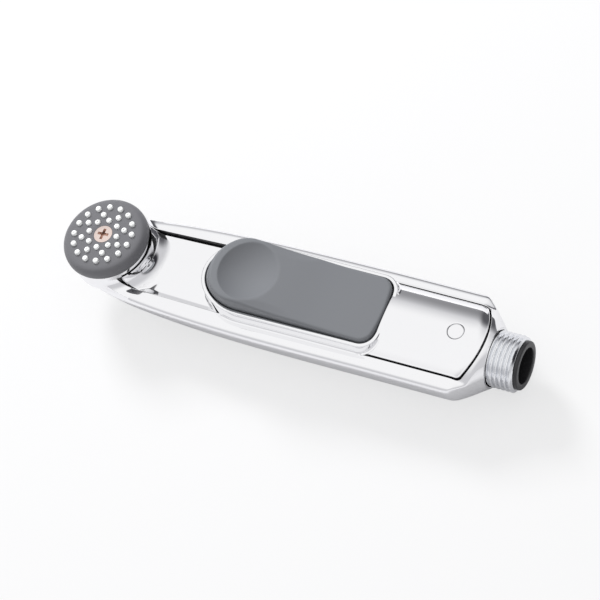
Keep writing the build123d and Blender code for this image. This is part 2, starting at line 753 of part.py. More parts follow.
def spray_face():
    disc = face_form()
    floor = FACE_THICKNESS - FACE_FLOOR - FACE_CROWN
    disc = disc - rod_z(PAD_RADIUS + NOZZLE_CLEARANCE, 0, floor)
    radius = NOZZLE_RADIUS + NOZZLE_CLEARANCE
    holes = [rod_z(radius, 0, TALL, x, y) for x, y in nozzle_places()]
    disc = disc - holes
    sink = Cone(
        FACE_SCREW_SHANK + NOZZLE_CLEARANCE,
        FACE_SCREW_RADIUS + NOZZLE_CLEARANCE,
        FACE_SCREW_HEAD,
        align=(Align.CENTER, Align.CENTER, Align.MAX),
    )
    disc = disc - Pos(0, 0, FACE_THICKNESS) * sink
    disc = disc - rod_z(FACE_SCREW_SHANK + NOZZLE_CLEARANCE, 0, TALL)
    return HEAD * disc


def nozzle_pad():
    """Silicone pad under the disc, with one hollow nozzle for each hole."""
    top = FACE_THICKNESS - FACE_FLOOR - FACE_CROWN - NOZZLE_CLEARANCE
    base = rod_z(PAD_RADIUS, top - PAD_THICKNESS, top)
    base = base - rod_z(CHAMBER_POST + NOZZLE_CLEARANCE, -TALL, TALL)
    height = FACE_THICKNESS + NOZZLE_PROUD - top
    tips = []
    bores = []
    for x, y in nozzle_places():
        straight = rod_z(NOZZLE_RADIUS, top, FACE_THICKNESS, x, y)
        cone = Cone(
            NOZZLE_RADIUS,
            NOZZLE_TIP_RADIUS,
            top + height - FACE_THICKNESS,
            align=(Align.CENTER, Align.CENTER, Align.MIN),
        )
        tips += [straight, Pos(x, y, FACE_THICKNESS) * cone]
        bores.append(rod_z(NOZZLE_HOLE, 0, TALL, x, y))
    pad = base + tips
    return HEAD * (pad - bores)


def face_screw():
    head = Cone(
        FACE_SCREW_SHANK,
        FACE_SCREW_RADIUS,
        FACE_SCREW_HEAD,
        align=(Align.CENTER, Align.CENTER, Align.MAX),
    )
    screw = Pos(0, 0, FACE_THICKNESS) * head
    screw = screw + rod_z(FACE_SCREW_SHANK, FACE_THICKNESS - FACE_SCREW_LENGTH, FACE_THICKNESS - 1)
    return HEAD * (screw - cross_slot(FACE_THICKNESS, FACE_SCREW_RADIUS, 0, 0))


def snout_form(clearance):
    """Inlet of the spray chamber: a rising well, a narrow neck and a socket for the tube."""
    well_x = X_HEAD + WELL_FROM_HEAD
    radius = SNOUT_NARROW_RADIUS + clearance
    level = TUBE_HEIGHT + SNOUT_RISE
    well = rod_z(radius, level - radius, PANEL_HEIGHT, well_x)
    narrow = rod_x(radius, well_x, X_SNOUT - SNOUT_SOCKET + clearance, level)
    start = X_HEAD + CUP_RADIUS + BODY_CLEARANCE - clearance
    wide = rod_x(SNOUT_RADIUS + clearance, start, X_SNOUT + clearance, TUBE_HEIGHT)
    roof = PANEL_HEIGHT - PANEL_PLATE - BODY_CLEARANCE + clearance
    return (well + narrow + wide) & block(X_TIP, X_END, -TALL, TALL, 0, roof)


def spray_chamber():
    outer = cup_room(CHAMBER_RADIUS, CHAMBER_DEPTH, -BODY_CLEARANCE)
    inner = cup_room(CHAMBER_RADIUS - CHAMBER_WALL, CHAMBER_DEPTH - CHAMBER_WALL, TALL)
    body = HEAD * outer + snout_form(0) - HEAD * inner
    level = TUBE_HEIGHT + SNOUT_RISE
    well_x = X_HEAD + WELL_FROM_HEAD
    well = rod_z(SNOUT_PASSAGE, level - SNOUT_PASSAGE, CUP_TOP_HEIGHT - 1, well_x)
    passage = rod_x(SNOUT_PASSAGE, well_x, X_SNOUT, level)
    socket = rod_x(TUBE_RADIUS + TUBE_FIT, X_SNOUT - SNOUT_SOCKET, X_SNOUT, TUBE_HEIGHT)
    top = FACE_THICKNESS - FACE_SCREW_HEAD - SEAT_CLEARANCE
    post = HEAD * rod_z(CHAMBER_POST, -CHAMBER_DEPTH + CHAMBER_WALL / 2, top)
    pilot_end = FACE_THICKNESS - FACE_SCREW_LENGTH - BODY_CLEARANCE
    pilot = HEAD * rod_z(FACE_SCREW_SHANK + PILOT_CLEARANCE, pilot_end, TALL)
    groove = tube_seal_groove(X_SNOUT - SNOUT_SOCKET / 2)
    return body - well - passage - socket + post - pilot - groove


def tube_seal_groove(x):
    outer = rod_x(TUBE_RADIUS + 2 * SEAL_WIRE, x - SEAL_WIRE, x + SEAL_WIRE, TUBE_HEIGHT)
    return outer


def ring_x(x, centre_radius, wire, height):
    return Pos(x, 0, height) * Rot(0, 90, 0) * Torus(centre_radius, wire)


def tube_seals():
    """Two O-rings, one at each end of the water tube."""
    radius = TUBE_RADIUS + SEAL_WIRE
    wire = SEAL_WIRE - TUBE_FIT
    front = ring_x(X_SNOUT - SNOUT_SOCKET / 2, radius, wire, TUBE_HEIGHT)
    rear = ring_x(X_FRONT_BLOCK + FRONT_SOCKET / 2, radius, wire, TUBE_HEIGHT)
    return Compound(children=[front, rear])


def waterway_tube():
    outer = rod_x(TUBE_RADIUS, X_TUBE_FRONT, X_TUBE_REAR, TUBE_HEIGHT)
    return outer - rod_x(TUBE_BORE, X_TUBE_FRONT, X_TUBE_REAR, TUBE_HEIGHT)


def chamber_seal():
    """Flat ring between the chamber's mouth and the pad."""
    floor = FACE_THICKNESS - FACE_FLOOR - FACE_CROWN
    top = floor - NOZZLE_CLEARANCE - PAD_THICKNESS
    ring = rod_z(PAD_RADIUS, -BODY_CLEARANCE, top)
    return HEAD * (ring - rod_z(CHAMBER_RADIUS - CHAMBER_WALL, -TALL, TALL))


# Inlet


def inlet_nipple():
    flange = rod_x(NIPPLE_FLANGE_RADIUS, X_FLANGE_FRONT, X_FLANGE_REAR)
    low = AXIS_Z - NIPPLE_FLANGE_FLAT
    high = AXIS_Z + NIPPLE_FLANGE_FLAT
    flange = flange & block(X_TIP, X_END, -TALL, TALL, low, high)
    thread = rod_x(THREAD_RADIUS, X_FACE + THREAD_UNDERCUT, X_THREAD_END)
    thread = chamfer(thread.edges().filter_by(GeomType.CIRCLE).sort_by(Axis.X)[-1], THREAD_CHAMFER)
    stub = rod_x(NIPPLE_STUB_RADIUS, X_STUB, X_FLANGE_FRONT)
    shank = rod_x(NIPPLE_SHANK_RADIUS, X_FLANGE_REAR, X_FACE + THREAD_UNDERCUT)
    body = flange + shank + thread + stub
    groove_x = X_STUB + NIPPLE_STUB_LENGTH / 2
    groove = rod_x(TALL / 4, groove_x - 2 * SEAL_WIRE, groove_x + 2 * SEAL_WIRE)
    groove = groove - rod_x(NIPPLE_STUB_RADIUS - 2 * SEAL_WIRE, X_TIP, X_END)
    bore = rod_x(NIPPLE_BORE, X_CHECK, X_END)
    pocket = rod_x(CHECK_BORE, X_CHECK - CHECK_POCKET, X_CHECK)
    outlet = rod_x(OUTLET_BORE, X_TIP, X_CHECK)
    return body - groove - bore - pocket - (outlet & block(X_STUB - 1, X_END, -9, 9, 0, 29))


def inlet_seal():
    """O-ring in the nipple's groove."""
    x = X_STUB + NIPPLE_STUB_LENGTH / 2
    return ring_x(x, NIPPLE_STUB_RADIUS - SEAL_WIRE, SEAL_WIRE, AXIS_Z)


def inlet_sleeve():
    lip = rod_x(SLEEVE_LIP_RADIUS, X_THREAD_END, X_END)
    lip = chamfer(lip.edges().filter_by(GeomType.CIRCLE).sort_by(Axis.X)[-1], SLEEVE_CHAMFER)
    tube = rod_x(NIPPLE_BORE - INSERT_CLEARANCE, X_SLEEVE, X_THREAD_END)
    return lip + tube - rod_x(SLEEVE_BORE, X_SLEEVE, X_END)


def hole_disc(start, end, radius, hole, rows, pitch):
    """Disc with a square grid of round holes inside its rim."""
    disc = rod_x(radius, start, end)
    reach = SLEEVE_BORE - hole
    holes = []
    for i in range(-rows, rows + 1):
        for j in range(-rows, rows + 1):
            if pitch * sqrt(i * i + j * j) <= reach:
                holes.append(rod_x(hole, start, end, AXIS_Z + i * pitch, j * pitch))
    return disc - holes


def inlet_filter():
    return hole_disc(X_FILTER, X_SLEEVE, NIPPLE_BORE - INSERT_CLEARANCE, 0.45, 4, 1.35)


def check_valve_seat():
    plate = rod_x(NIPPLE_BORE - INSERT_CLEARANCE, X_CHECK, X_FILTER)
    places = [(3.6 * cos(i * pi / 3), 3.6 * sin(i * pi / 3)) for i in range(6)]
    holes = [rod_x(1.1, X_CHECK, X_FILTER, AXIS_Z + up, side) for side, up in places]
    return plate - holes - rod_x(1.0 + INSERT_CLEARANCE, X_CHECK, X_FILTER)


def check_valve_flap():
    """Silicone umbrella: a thin cap downstream of the plate and a stem through it."""
    cap = rod_x(CHECK_FLAP_RADIUS, X_CHECK - CHECK_FLAP_THICKNESS, X_CHECK)
    cap = chamfer(cap.edges().filter_by(GeomType.CIRCLE).sort_by(Axis.X)[0], 0.6)
    return cap + rod_x(1.0, X_CHECK, X_FILTER - INSERT_CLEARANCE)


# Valve


def valve_body():
    rear_end = X_FLANGE_FRONT - SEAT_CLEARANCE
    socket = rod_x(SOCKET_RADIUS, X_STUB - WALL, rear_end)
    block_start = X_STUB - REAR_BLOCK_LENGTH
    rear = rod_x(REAR_BORE + WALL, block_start, X_STUB)
    pipe = rod_x(PIPE_RADIUS, X_VALVE, X_STUB - WALL, PIPE_HEIGHT)
    seat = screw_seat_height() - COVER_SCREW_FLOOR - SEAT_CLEARANCE
    boss = rod_z(BOSS_RADIUS, AXIS_Z, seat, X_CAP)
    tower = rod_z(TOWER_RADIUS, 0, TOWER_TOP, X_VALVE)
    front = block(
        X_FRONT_BLOCK, X_VALVE, -FRONT_BLOCK_HALF, FRONT_BLOCK_HALF, 0, TOWER_TOP - WALL
    )
    ear_half = BODY_SCREW_SIDE + BOSS_RADIUS
    ears = block(
        X_EARS - EAR_HALF_LENGTH,
        X_EARS + EAR_HALF_LENGTH,
        -ear_half,
        ear_half,
        EAR_HEIGHT,
        EAR_HEIGHT + EAR_THICKNESS,
    )
    body = (socket + rear + pipe + boss + tower + front + ears) & valve_space()
    for hollow in valve_hollows():
        body = body - hollow
    return body


def valve_space():
    """Room inside the casing, less a clearance."""
    inset = WALL + BODY_CLEARANCE
    front = boat(X_HEAD + CUP_RADIUS, inset, RIM_DEPTH)
    rear = extrude(boat_section(X_WIDEST, inset, RIM_DEPTH), X_SHOULDER - X_WIDEST)
    tall = block(X_HEAD, X_FLANGE_REAR, -SOCKET_RADIUS, SOCKET_RADIUS, AXIS_Z, CROWN_HEIGHT)
    pocket = rod_x(SOCKET_RADIUS, X_SHOULDER - WALL, X_FLANGE_REAR)
    pocket = pocket & block(
        X_HEAD, X_END, -TALL, TALL, AXIS_Z - NIPPLE_FLANGE_FLAT, AXIS_Z + NIPPLE_FLANGE_FLAT
    )
    return front + rear + tall + pocket


def valve_hollows():
    """Water ways and bores of the valve body, one after the other."""
    stub_bore = rod_x(NIPPLE_STUB_RADIUS + SOCKET_FIT, X_STUB - SEAT_CLEARANCE, X_END)
    rear = rod_x(REAR_BORE, X_STUB - REAR_BLOCK_LENGTH + WALL, X_STUB)
    pipe = rod_x(PIPE_BORE, X_VALVE, X_STUB - WALL, PIPE_HEIGHT)
    chamber = rod_z(CHAMBER_BORE, CHAMBER_BOTTOM, TALL, X_VALVE)
    upper = rod_z(CHAMBER_BORE + SEAT_STEP, SEAT_LEVEL, TALL, X_VALVE)
    low = SEAT_LEVEL + SEAT_THICKNESS
    well_start = X_FRONT_BLOCK + FRONT_SOCKET
    well_end = X_VALVE - TOWER_RADIUS + 1.3
    slot = block(well_start, X_VALVE, -OUTLET_HALF, OUTLET_HALF, low, low + OUTLET_HEIGHT)
    well = block(
        well_start, well_end, -TUBE_BORE, TUBE_BORE, TUBE_HEIGHT - TUBE_BORE, low + OUTLET_HEIGHT
    )
    socket = rod_x(TUBE_RADIUS + TUBE_FIT, X_TIP, well_start, TUBE_HEIGHT)
    groove = tube_seal_groove(X_FRONT_BLOCK + FRONT_SOCKET / 2)
    pilot_floor = AXIS_Z + REAR_BORE + PILOT_FLOOR
    pilot = rod_z(COVER_SCREW_SHANK + PILOT_CLEARANCE, pilot_floor, TALL, X_CAP)
    seat = screw_seat_height() - COVER_SCREW_FLOOR - SEAT_CLEARANCE
    room = rod_z(CAP_RADIUS + COVER_SCREW_FLOOR + BODY_CLEARANCE, seat, TALL, X_CAP)
    ears = [
        rod_z(BODY_SCREW_SHANK + PILOT_CLEARANCE, 0, TALL, X_EARS, side)
        for side in (-BODY_SCREW_SIDE, BODY_SCREW_SIDE)
    ]
    ways = [stub_bore, rear, pipe, chamber, upper, slot, well, socket, groove]
    return ways + [pilot, room] + ears


def valve_seat():
    radius = CHAMBER_BORE + SEAT_STEP - INSERT_CLEARANCE
    ring = rod_z(radius, SEAT_LEVEL, SEAT_LEVEL + SEAT_THICKNESS, X_VALVE)
    middle = SEAT_LEVEL + SEAT_THICKNESS / 2
    groove = rod_z(radius + 1, middle - SEAL_WIRE, middle + SEAL_WIRE, X_VALVE)
    groove = groove - rod_z(radius - 2 * SEAL_WIRE, 0, TALL, X_VALVE)
    return ring - groove - rod_z(SEAT_BORE, 0, TALL, X_VALVE)


def seat_seal():
    """O-ring in the valve seat's groove."""
    radius = CHAMBER_BORE + SEAT_STEP - INSERT_CLEARANCE - SEAL_WIRE
    middle = SEAT_LEVEL + SEAT_THICKNESS / 2
    return Pos(X_VALVE, 0, middle) * Torus(radius - INSERT_CLEARANCE, SEAL_WIRE - INSERT_CLEARANCE)


def valve_stem():
    pad_bottom = STEM_TOP - STEM_PAD_THICKNESS
    disc_top = SEAT_LEVEL
    shank = rod_z(STEM_RADIUS, disc_top, pad_bottom, X_VALVE)
    pad = rod_z(STEM_PAD_RADIUS, pad_bottom, STEM_TOP, X_VALVE)
    pad = fillet(pad.edges().group_by(Axis.Z)[-1], STEM_PAD_THICKNESS / 2)
    tip_end = disc_top - DISC_THICKNESS - DISC_NUT_HEIGHT
    tip = rod_z(STEM_TIP_RADIUS, tip_end, disc_top, X_VALVE)
    return shank + pad + tip


def valve_disc():
    """Rubber washer that closes against the seat."""
    disc = rod_z(DISC_RADIUS, SEAT_LEVEL - DISC_THICKNESS, SEAT_LEVEL, X_VALVE)
    return disc - rod_z(STEM_TIP_RADIUS + HOLE_CLEARANCE, 0, TALL, X_VALVE)


def disc_nut():
    """Flanged nut that clamps the washer and seats the spring."""
    top = SEAT_LEVEL - DISC_THICKNESS
    flange = rod_z(DISC_NUT_RADIUS, top - DISC_NUT_THICKNESS, top, X_VALVE)
    hexagon = RegularPolygon(DISC_NUT_HEX, 6, major_radius=False)
    hexagon = Pos(X_VALVE, 0, top - DISC_NUT_HEIGHT) * hexagon
    nut = flange + extrude(hexagon, DISC_NUT_HEIGHT)
    return nut - rod_z(STEM_TIP_RADIUS + HOLE_CLEARANCE, 0, TALL, X_VALVE)


def valve_gland():
    """Bush on a windowed skirt that holds the seat down and guides the stem."""
    radius = CHAMBER_BORE + SEAT_STEP - INSERT_CLEARANCE
    bottom = SEAT_LEVEL + SEAT_THICKNESS
    gland = rod_z(radius, bottom, GLAND_TOP, X_VALVE)
    room = rod_z(radius - GLAND_SKIRT_WALL, bottom, GLAND_FLOOR, X_VALVE)
    window = block(X_FRONT_BLOCK, X_VALVE, -OUTLET_HALF, OUTLET_HALF, bottom, bottom + OUTLET_HEIGHT)
    gland = gland - room - window
    gland = gland - rod_z(STEM_RADIUS + STEM_FIT, 0, TALL, X_VALVE)
    for level in stem_seal_levels():
        wide = STEM_RADIUS + STEM_FIT + 2 * STEM_SEAL_RADIUS
        half = STEM_SEAL_RADIUS + HOLE_CLEARANCE
        gland = gland - rod_z(wide, level - half, level + half, X_VALVE)
    return gland


def stem_seal_levels():
    span = GLAND_TOP - GLAND_FLOOR
    return (GLAND_FLOOR + span * 0.27, GLAND_FLOOR + span * 0.75)


def stem_seals():
    """Two O-rings in the gland's grooves."""
    radius = STEM_RADIUS + STEM_FIT + STEM_SEAL_RADIUS
    rings = [
        Pos(X_VALVE, 0, level) * Torus(radius, STEM_SEAL_RADIUS - HOLE_CLEARANCE)
        for level in stem_seal_levels()
    ]
    return Compound(children=rings)


def gland_nut():
    body = rod_z(NUT_RADIUS, NUT_TOP - NUT_SKIRT, NUT_TOP, X_VALVE)
    body = chamfer(body.edges().group_by(Axis.Z)[-1], 0.5)
    inside = rod_z(TOWER_RADIUS + INSERT_CLEARANCE, 0, TOWER_TOP + SEAT_CLEARANCE, X_VALVE)
    half = FRONT_BLOCK_HALF + BODY_CLEARANCE
    top = TOWER_TOP - WALL + SEAT_CLEARANCE
    front = block(X_FRONT_BLOCK, X_VALVE, -half, half, 0, top)
    return body - inside - rod_z(NUT_HOLE, 0, TALL, X_VALVE) - front


def valve_spring():
    """Coil spring between the chamber's floor and the nut's flange."""
    top = SEAT_LEVEL - DISC_THICKNESS - DISC_NUT_THICKNESS
    height = top - CHAMBER_BOTTOM - 2 * SPRING_WIRE
    path = Helix(height / SPRING_TURNS, height, SPRING_RADIUS)
    start = Plane(origin=path @ 0, z_dir=path % 0)
    coil = sweep(start * Circle(SPRING_WIRE), path)
    return Pos(X_VALVE, 0, CHAMBER_BOTTOM + SPRING_WIRE) * coil


def body_screws():
    """Two screws that hold the valve body's ears to the posts."""
    seat = EAR_HEIGHT + EAR_THICKNESS
    screws = []
    for side in (-BODY_SCREW_SIDE, BODY_SCREW_SIDE):
        head = rod_z(BODY_SCREW_HEAD, seat, seat + BODY_SCREW_HEAD_HEIGHT, X_EARS, side)
        shank = rod_z(BODY_SCREW_SHANK, seat - BODY_SCREW_LENGTH, seat, X_EARS, side)
        slot = cross_slot(seat + BODY_SCREW_HEAD_HEIGHT, BODY_SCREW_HEAD, X_EARS, side)
        screws.append(head + shank - slot)
    return Compound(children=screws)


NODES = {
    "body_shell": body_shell,
    "top_cover": top_cover,
    "screw_cap": screw_cap,
    "cover_screw": cover_screw,
    "thumb_lever": thumb_lever,
    "lever_pin": lever_pin,
    "spray_face": spray_face,
    "nozzle_pad": nozzle_pad,
    "face_screw": face_screw,
    "chamber_seal": chamber_seal,
    "spray_chamber": spray_chamber,
    "waterway_tube": waterway_tube,
    "tube_seals": tube_seals,
    "inlet_nipple": inlet_nipple,
    "inlet_seal": inlet_seal,
    "inlet_sleeve": inlet_sleeve,
    "inlet_filter": inlet_filter,
    "check_valve_seat": check_valve_seat,
    "check_valve_flap": check_valve_flap,
    "valve_body": valve_body,
    "valve_seat": valve_seat,
    "seat_seal": seat_seal,
    "valve_stem": valve_stem,
    "valve_disc": valve_disc,
    "disc_nut": disc_nut,
    "valve_gland": valve_gland,
    "stem_seals": stem_seals,
    "gland_nut": gland_nut,
    "valve_spring": valve_spring,
    "body_screws": body_screws,
}

os.makedirs("parts", exist_ok=True)
for name, make in NODES.items():
    export_step(make(), f"parts/{name}.step")
    print(name)
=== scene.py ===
# %% [markdown]
# # A handheld bidet shower, built in Blender
#
# The real object is a hand spray: a chrome plated casing, a chrome cover with a raised frame
# round a grey thumb lever, a round grey spray face with soft white nozzles, and a threaded
# inlet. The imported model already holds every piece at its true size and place, so the first
# step loads it as a frame. It could be shown as it comes, but its faces are flat, and a mirror
# finish shows each one. So the frame gives sizes and bodies, and the seen skins are made anew.

# %% Load the frame
import json
from math import cos, hypot, pi, radians, sin

import bmesh
import bpy
import numpy as np
from mathutils import Matrix, Vector


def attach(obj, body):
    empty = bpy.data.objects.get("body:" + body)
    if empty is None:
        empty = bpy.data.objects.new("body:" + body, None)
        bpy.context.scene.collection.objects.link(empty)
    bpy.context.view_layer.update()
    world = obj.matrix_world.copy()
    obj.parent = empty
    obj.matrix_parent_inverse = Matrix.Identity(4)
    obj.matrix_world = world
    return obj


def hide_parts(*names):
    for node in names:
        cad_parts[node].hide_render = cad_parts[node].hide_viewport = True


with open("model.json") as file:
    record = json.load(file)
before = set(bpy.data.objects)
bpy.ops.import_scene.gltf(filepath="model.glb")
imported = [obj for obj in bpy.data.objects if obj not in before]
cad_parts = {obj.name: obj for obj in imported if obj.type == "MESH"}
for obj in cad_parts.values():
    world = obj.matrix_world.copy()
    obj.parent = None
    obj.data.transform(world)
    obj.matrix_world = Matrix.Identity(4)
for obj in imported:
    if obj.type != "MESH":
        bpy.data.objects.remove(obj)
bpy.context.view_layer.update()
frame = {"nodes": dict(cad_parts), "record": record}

scene = bpy.context.scene
print("nodes in the frame:", len(frame["nodes"]))

# %% [markdown]
# ## Camera
#
# A catalogue picture is taken with a long lens from well above, so the sides stay nearly
# parallel. The place and the lens were solved beforehand from the nozzle rings, the thread
# and the outline. A camera could be aimed with a constraint, but writing its three axes down
# keeps the roll of the picture exactly.

# %% Camera
RIGHT = Vector((0.8978, 0.3823, -0.2185))
UP = Vector((-0.2370, 0.8378, 0.4919))
BACK = Vector((0.3711, -0.3898, 0.8428))
CAMERA_PLACE = Vector((0.5328, -0.5568, 1.2235))
SENSOR_WIDTH, LENS, FARTHEST_SEEN = 36.0, 236.66, 20.0

camera = bpy.data.cameras.new("camera")
camera.sensor_width = SENSOR_WIDTH
camera.lens = LENS
camera.clip_end = FARTHEST_SEEN
camera_object = bpy.data.objects.new("camera", camera)
turn = Matrix((RIGHT, UP, BACK)).transposed()
camera_object.matrix_world = Matrix.Translation(CAMERA_PLACE) @ turn.to_4x4()
scene.collection.objects.link(camera_object)
scene.camera = camera_object
scene.view_settings.view_transform = "Standard"
print("camera stands", round(CAMERA_PLACE.length, 3), "m from the middle of the shower")

# %% [markdown]
# ## Making a material from nodes
#
# Every finish here is one Principled shader whose roughness and surface relief come from
# noise. Painting an image would be another way, but noise needs no file and stays sharp at
# any distance. The helper takes the plain numbers of a finish, and links only what changes
# over the surface.


# %% Helper for finishes
FINE_DETAIL, BROAD_SCALE, BROAD_DETAIL = 4.0, 45.0, 3.0
NOISE_LOW, NOISE_HIGH = 0.3, 0.7
SMOOTHEST = 0.01
RELIEF_DEPTH = 0.0001


def noise(nodes, links, place, scale, detail):
    """A noise texture laid on the object's own coordinates."""
    texture = nodes.new("ShaderNodeTexNoise")
    texture.inputs["Scale"].default_value = scale
    texture.inputs["Detail"].default_value = detail
    links.new(place.outputs["Object"], texture.inputs["Vector"])
    return texture


def finish(name, colour, roughness, metallic=0.0, grain=900.0, relief=0.02, spread=0.06,
           tint=0.03, scratch=None):
    """A Principled material with noise in its colour, roughness and relief."""
    material = bpy.data.materials.new(name)
    material.use_nodes = True
    nodes, links = material.node_tree.nodes, material.node_tree.links
    shader = nodes["Principled BSDF"]
    shader.inputs["Metallic"].default_value = metallic
    place = nodes.new("ShaderNodeTexCoord")
    fine = noise(nodes, links, place, grain, FINE_DETAIL)
    broad = noise(nodes, links, place, BROAD_SCALE, BROAD_DETAIL)
    rough = nodes.new("ShaderNodeMapRange")
    rough.inputs["From Min"].default_value = NOISE_LOW
    rough.inputs["From Max"].default_value = NOISE_HIGH
    rough.inputs["To Min"].default_value = max(roughness - spread, SMOOTHEST)
    rough.inputs["To Max"].default_value = roughness + spread
    links.new(broad.outputs["Fac"], rough.inputs["Value"])
    links.new(rough.outputs["Result"], shader.inputs["Roughness"])
    mix = nodes.new("ShaderNodeMix")
    mix.data_type = "RGBA"
    darker = [c * (1 - tint) for c in colour]
    mix.inputs["A"].default_value = (*darker, 1)
    mix.inputs["B"].default_value = (*colour, 1)
    links.new(broad.outputs["Fac"], mix.inputs["Factor"])
    links.new(mix.outputs["Result"], shader.inputs["Base Color"])
    bump = nodes.new("ShaderNodeBump")
    bump.inputs["Strength"].default_value = relief
    bump.inputs["Distance"].default_value = RELIEF_DEPTH
    if scratch:
        stretch = nodes.new("ShaderNodeMapping")
        stretch.inputs["Scale"].default_value = scratch
        links.new(place.outputs["Object"], stretch.inputs["Vector"])
        links.new(stretch.outputs["Vector"], fine.inputs["Vector"])
    links.new(fine.outputs["Fac"], bump.inputs["Height"])
    links.new(bump.outputs["Normal"], shader.inputs["Normal"])
    material["slot"] = name
    return material


print("every finish gets relief", RELIEF_DEPTH * 1000, "mm deep at full strength")

# %% [markdown]
# ## The finishes
#
# The casing is bright chrome on moulded plastic: nearly a mirror, with faint handling marks.
# The thread is the same plating on brass, but duller. The lever and the spray face are grey
# moulded plastic, the lever satin and the face finely grained. The nozzles are soft silicone,
# which lets a little light in. Each slot of the record gets one material, so that the pieces
# inside, which a pose may show, are finished as well.

# %% Make one material for each slot
CHROME = finish("chrome_plating", (0.915, 0.915, 0.925), roughness=0.05, metallic=1.0,
                grain=260, relief=0.012, spread=0.02, tint=0.02)
THREAD = finish("thread_chrome", (0.86, 0.87, 0.89), roughness=0.14, metallic=1.0,
                grain=500, relief=0.05, spread=0.05, tint=0.04, scratch=(1.0, 9.0, 9.0))
LEVER_GREY = finish("grey_plastic", (0.165, 0.172, 0.185), roughness=0.46,
                    grain=2600, relief=0.10, spread=0.05, tint=0.05)
FACE_GREY = finish("dark_grey_plastic", (0.135, 0.135, 0.145), roughness=0.52,
                   grain=2200, relief=0.22, spread=0.05, tint=0.06)
SILICONE = finish("white_silicone", (0.86, 0.87, 0.86), roughness=0.42,
                  grain=1500, relief=0.05, spread=0.05, tint=0.03)
COPPER = finish("copper_plating", (0.86, 0.72, 0.66), roughness=0.24, metallic=1.0,
                grain=1200, relief=0.06, spread=0.06, tint=0.06)
# black plastic for the sleeve, also used as painted shade on the gap walls
BLACK_PLASTIC_AND_GAP_SHADE = finish("black_plastic", (0.016, 0.016, 0.018), roughness=0.38,
                       grain=1800, relief=0.08, spread=0.05, tint=0.1)
finish("black_rubber", (0.02, 0.02, 0.02), roughness=0.6,
       grain=1500, relief=0.15, spread=0.05, tint=0.1)
finish("white_plastic", (0.78, 0.78, 0.75), roughness=0.45,
       grain=1600, relief=0.08, spread=0.05, tint=0.03)
finish("stainless_steel", (0.6, 0.6, 0.61), roughness=0.25, metallic=1.0,
       grain=700, relief=0.05, spread=0.06, tint=0.05, scratch=(8.0, 1.0, 8.0))
finish("brass", (0.72, 0.55, 0.28), roughness=0.28, metallic=1.0,
       grain=700, relief=0.05, spread=0.06, tint=0.06, scratch=(1.0, 1.0, 9.0))

SILICONE_DEPTH = 0.0012
soft = SILICONE.node_tree.nodes["Principled BSDF"]
soft.inputs["Subsurface Weight"].default_value = 0.35
soft.inputs["Subsurface Radius"].default_value = (SILICONE_DEPTH,) * 3
print("light goes", SILICONE_DEPTH * 1000, "mm into the silicone")

# %% [markdown]
# ## Finishing the pieces as they come
#
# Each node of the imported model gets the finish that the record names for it. The nodes could
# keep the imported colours, but those are flat, and a pose or a cut view may show them.

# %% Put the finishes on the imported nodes
slot_material = {m["slot"]: bpy.data.materials[m["slot"]] for m in frame["record"]["materials"]}
for part in frame["record"]["subparts"]:
    mesh = frame["nodes"][part["node"]].data
    mesh.materials.clear()
    mesh.materials.append(slot_material[part["material_slot"]])
print("finishes:", len(slot_material))

# %% [markdown]
# ## Turning lists of points into a piece
#
# All the drawings of the real shower are in millimetres, and Blender works in metres. One
# helper takes points in millimetres and faces, welds what coincides, smooths the shading and
# keeps edges sharp where the faces meet at more than a given angle. It also hangs the piece
# on the body it rides on, hides the CAD nodes it stands for and gives it its material.

# %% Helper that makes a piece
MM = 0.001
WELD, TOO_SHORT = 0.002 * MM, 0.0005 * MM


def piece(name, points, faces, material, body="body", stands_for=(), sharp=38.0):
    """Makes one finished object from points in millimetres."""
    mesh = bpy.data.meshes.new(name)
    mesh.from_pydata([tuple(float(c) * MM for c in p) for p in points], [], faces)
    work = bmesh.new()
    work.from_mesh(mesh)
    bmesh.ops.remove_doubles(work, verts=work.verts, dist=WELD)
    bmesh.ops.dissolve_degenerate(work, edges=work.edges, dist=TOO_SHORT)
    bmesh.ops.recalc_face_normals(work, faces=work.faces)
    loose = [v for v in work.verts if not v.link_faces]
    bmesh.ops.delete(work, geom=loose, context="VERTS")
    work.to_mesh(mesh)
    work.free()
    mesh.materials.append(material)
    mesh.shade_smooth()
    mesh.set_sharp_from_angle(angle=radians(sharp))
    thing = bpy.data.objects.new(name, mesh)
    scene.collection.objects.link(thing)
    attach(thing, body)
    if stands_for:
        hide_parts(*stands_for)
    print(name, "has", len(mesh.polygons), "faces")
    return thing


# %% [markdown]
# ## Turned parts
#
# The bowl of the head, the spray face, its screw, the nozzles and the inlet's sleeve are all
# round, as if turned on a lathe. A screw modifier could spin a profile. Writing the rings
# down in a short function gives the same mesh, and lets many of them go into one piece.


# %% Helper for turned parts
def turned(profile, place=Matrix.Identity(4), segments=96):
    """Points and faces of (radius, height) pairs spun about the Z axis of a place, in mm."""
    points, faces = [], []
    for radius, height in profile:
        for i in range(segments):
            angle = 2 * pi * i / segments
            points.append(place @ Vector((radius * cos(angle), radius * sin(angle), height)))
    for ring in range(len(profile) - 1):
        for i in range(segments):
            j = (i + 1) % segments
            low, high = ring * segments, (ring + 1) * segments
            faces.append((low + i, low + j, high + j, high + i))
    return points, faces


def joined(parts):
    """Puts several lists of points and faces together."""
    points, faces = [], []
    for more_points, more_faces in parts:
        start = len(points)
        points += list(more_points)
        faces += [tuple(start + i for i in face) for face in more_faces]
    return points, faces


sample = turned([(1.0, 0.0), (1.0, 1.0)])
print("a turned ring has", len(sample[1]), "faces")

# %% [markdown]
# ## The casing as a rule instead of a mesh
#
# The casing is one moulding. Over its front its cross-section has a flat deck, round rim
# corners and an elliptical belly, and to the rear a crown stands on the deck, a slope bevels
# it, and a dome closes it down to the inlet. It could be lofted from curves, but loft seams
# show in chrome. Here each form is a field that is negative inside, in millimetres, and the
# fields are blended, so every fold gets the small round that a plated moulding has.

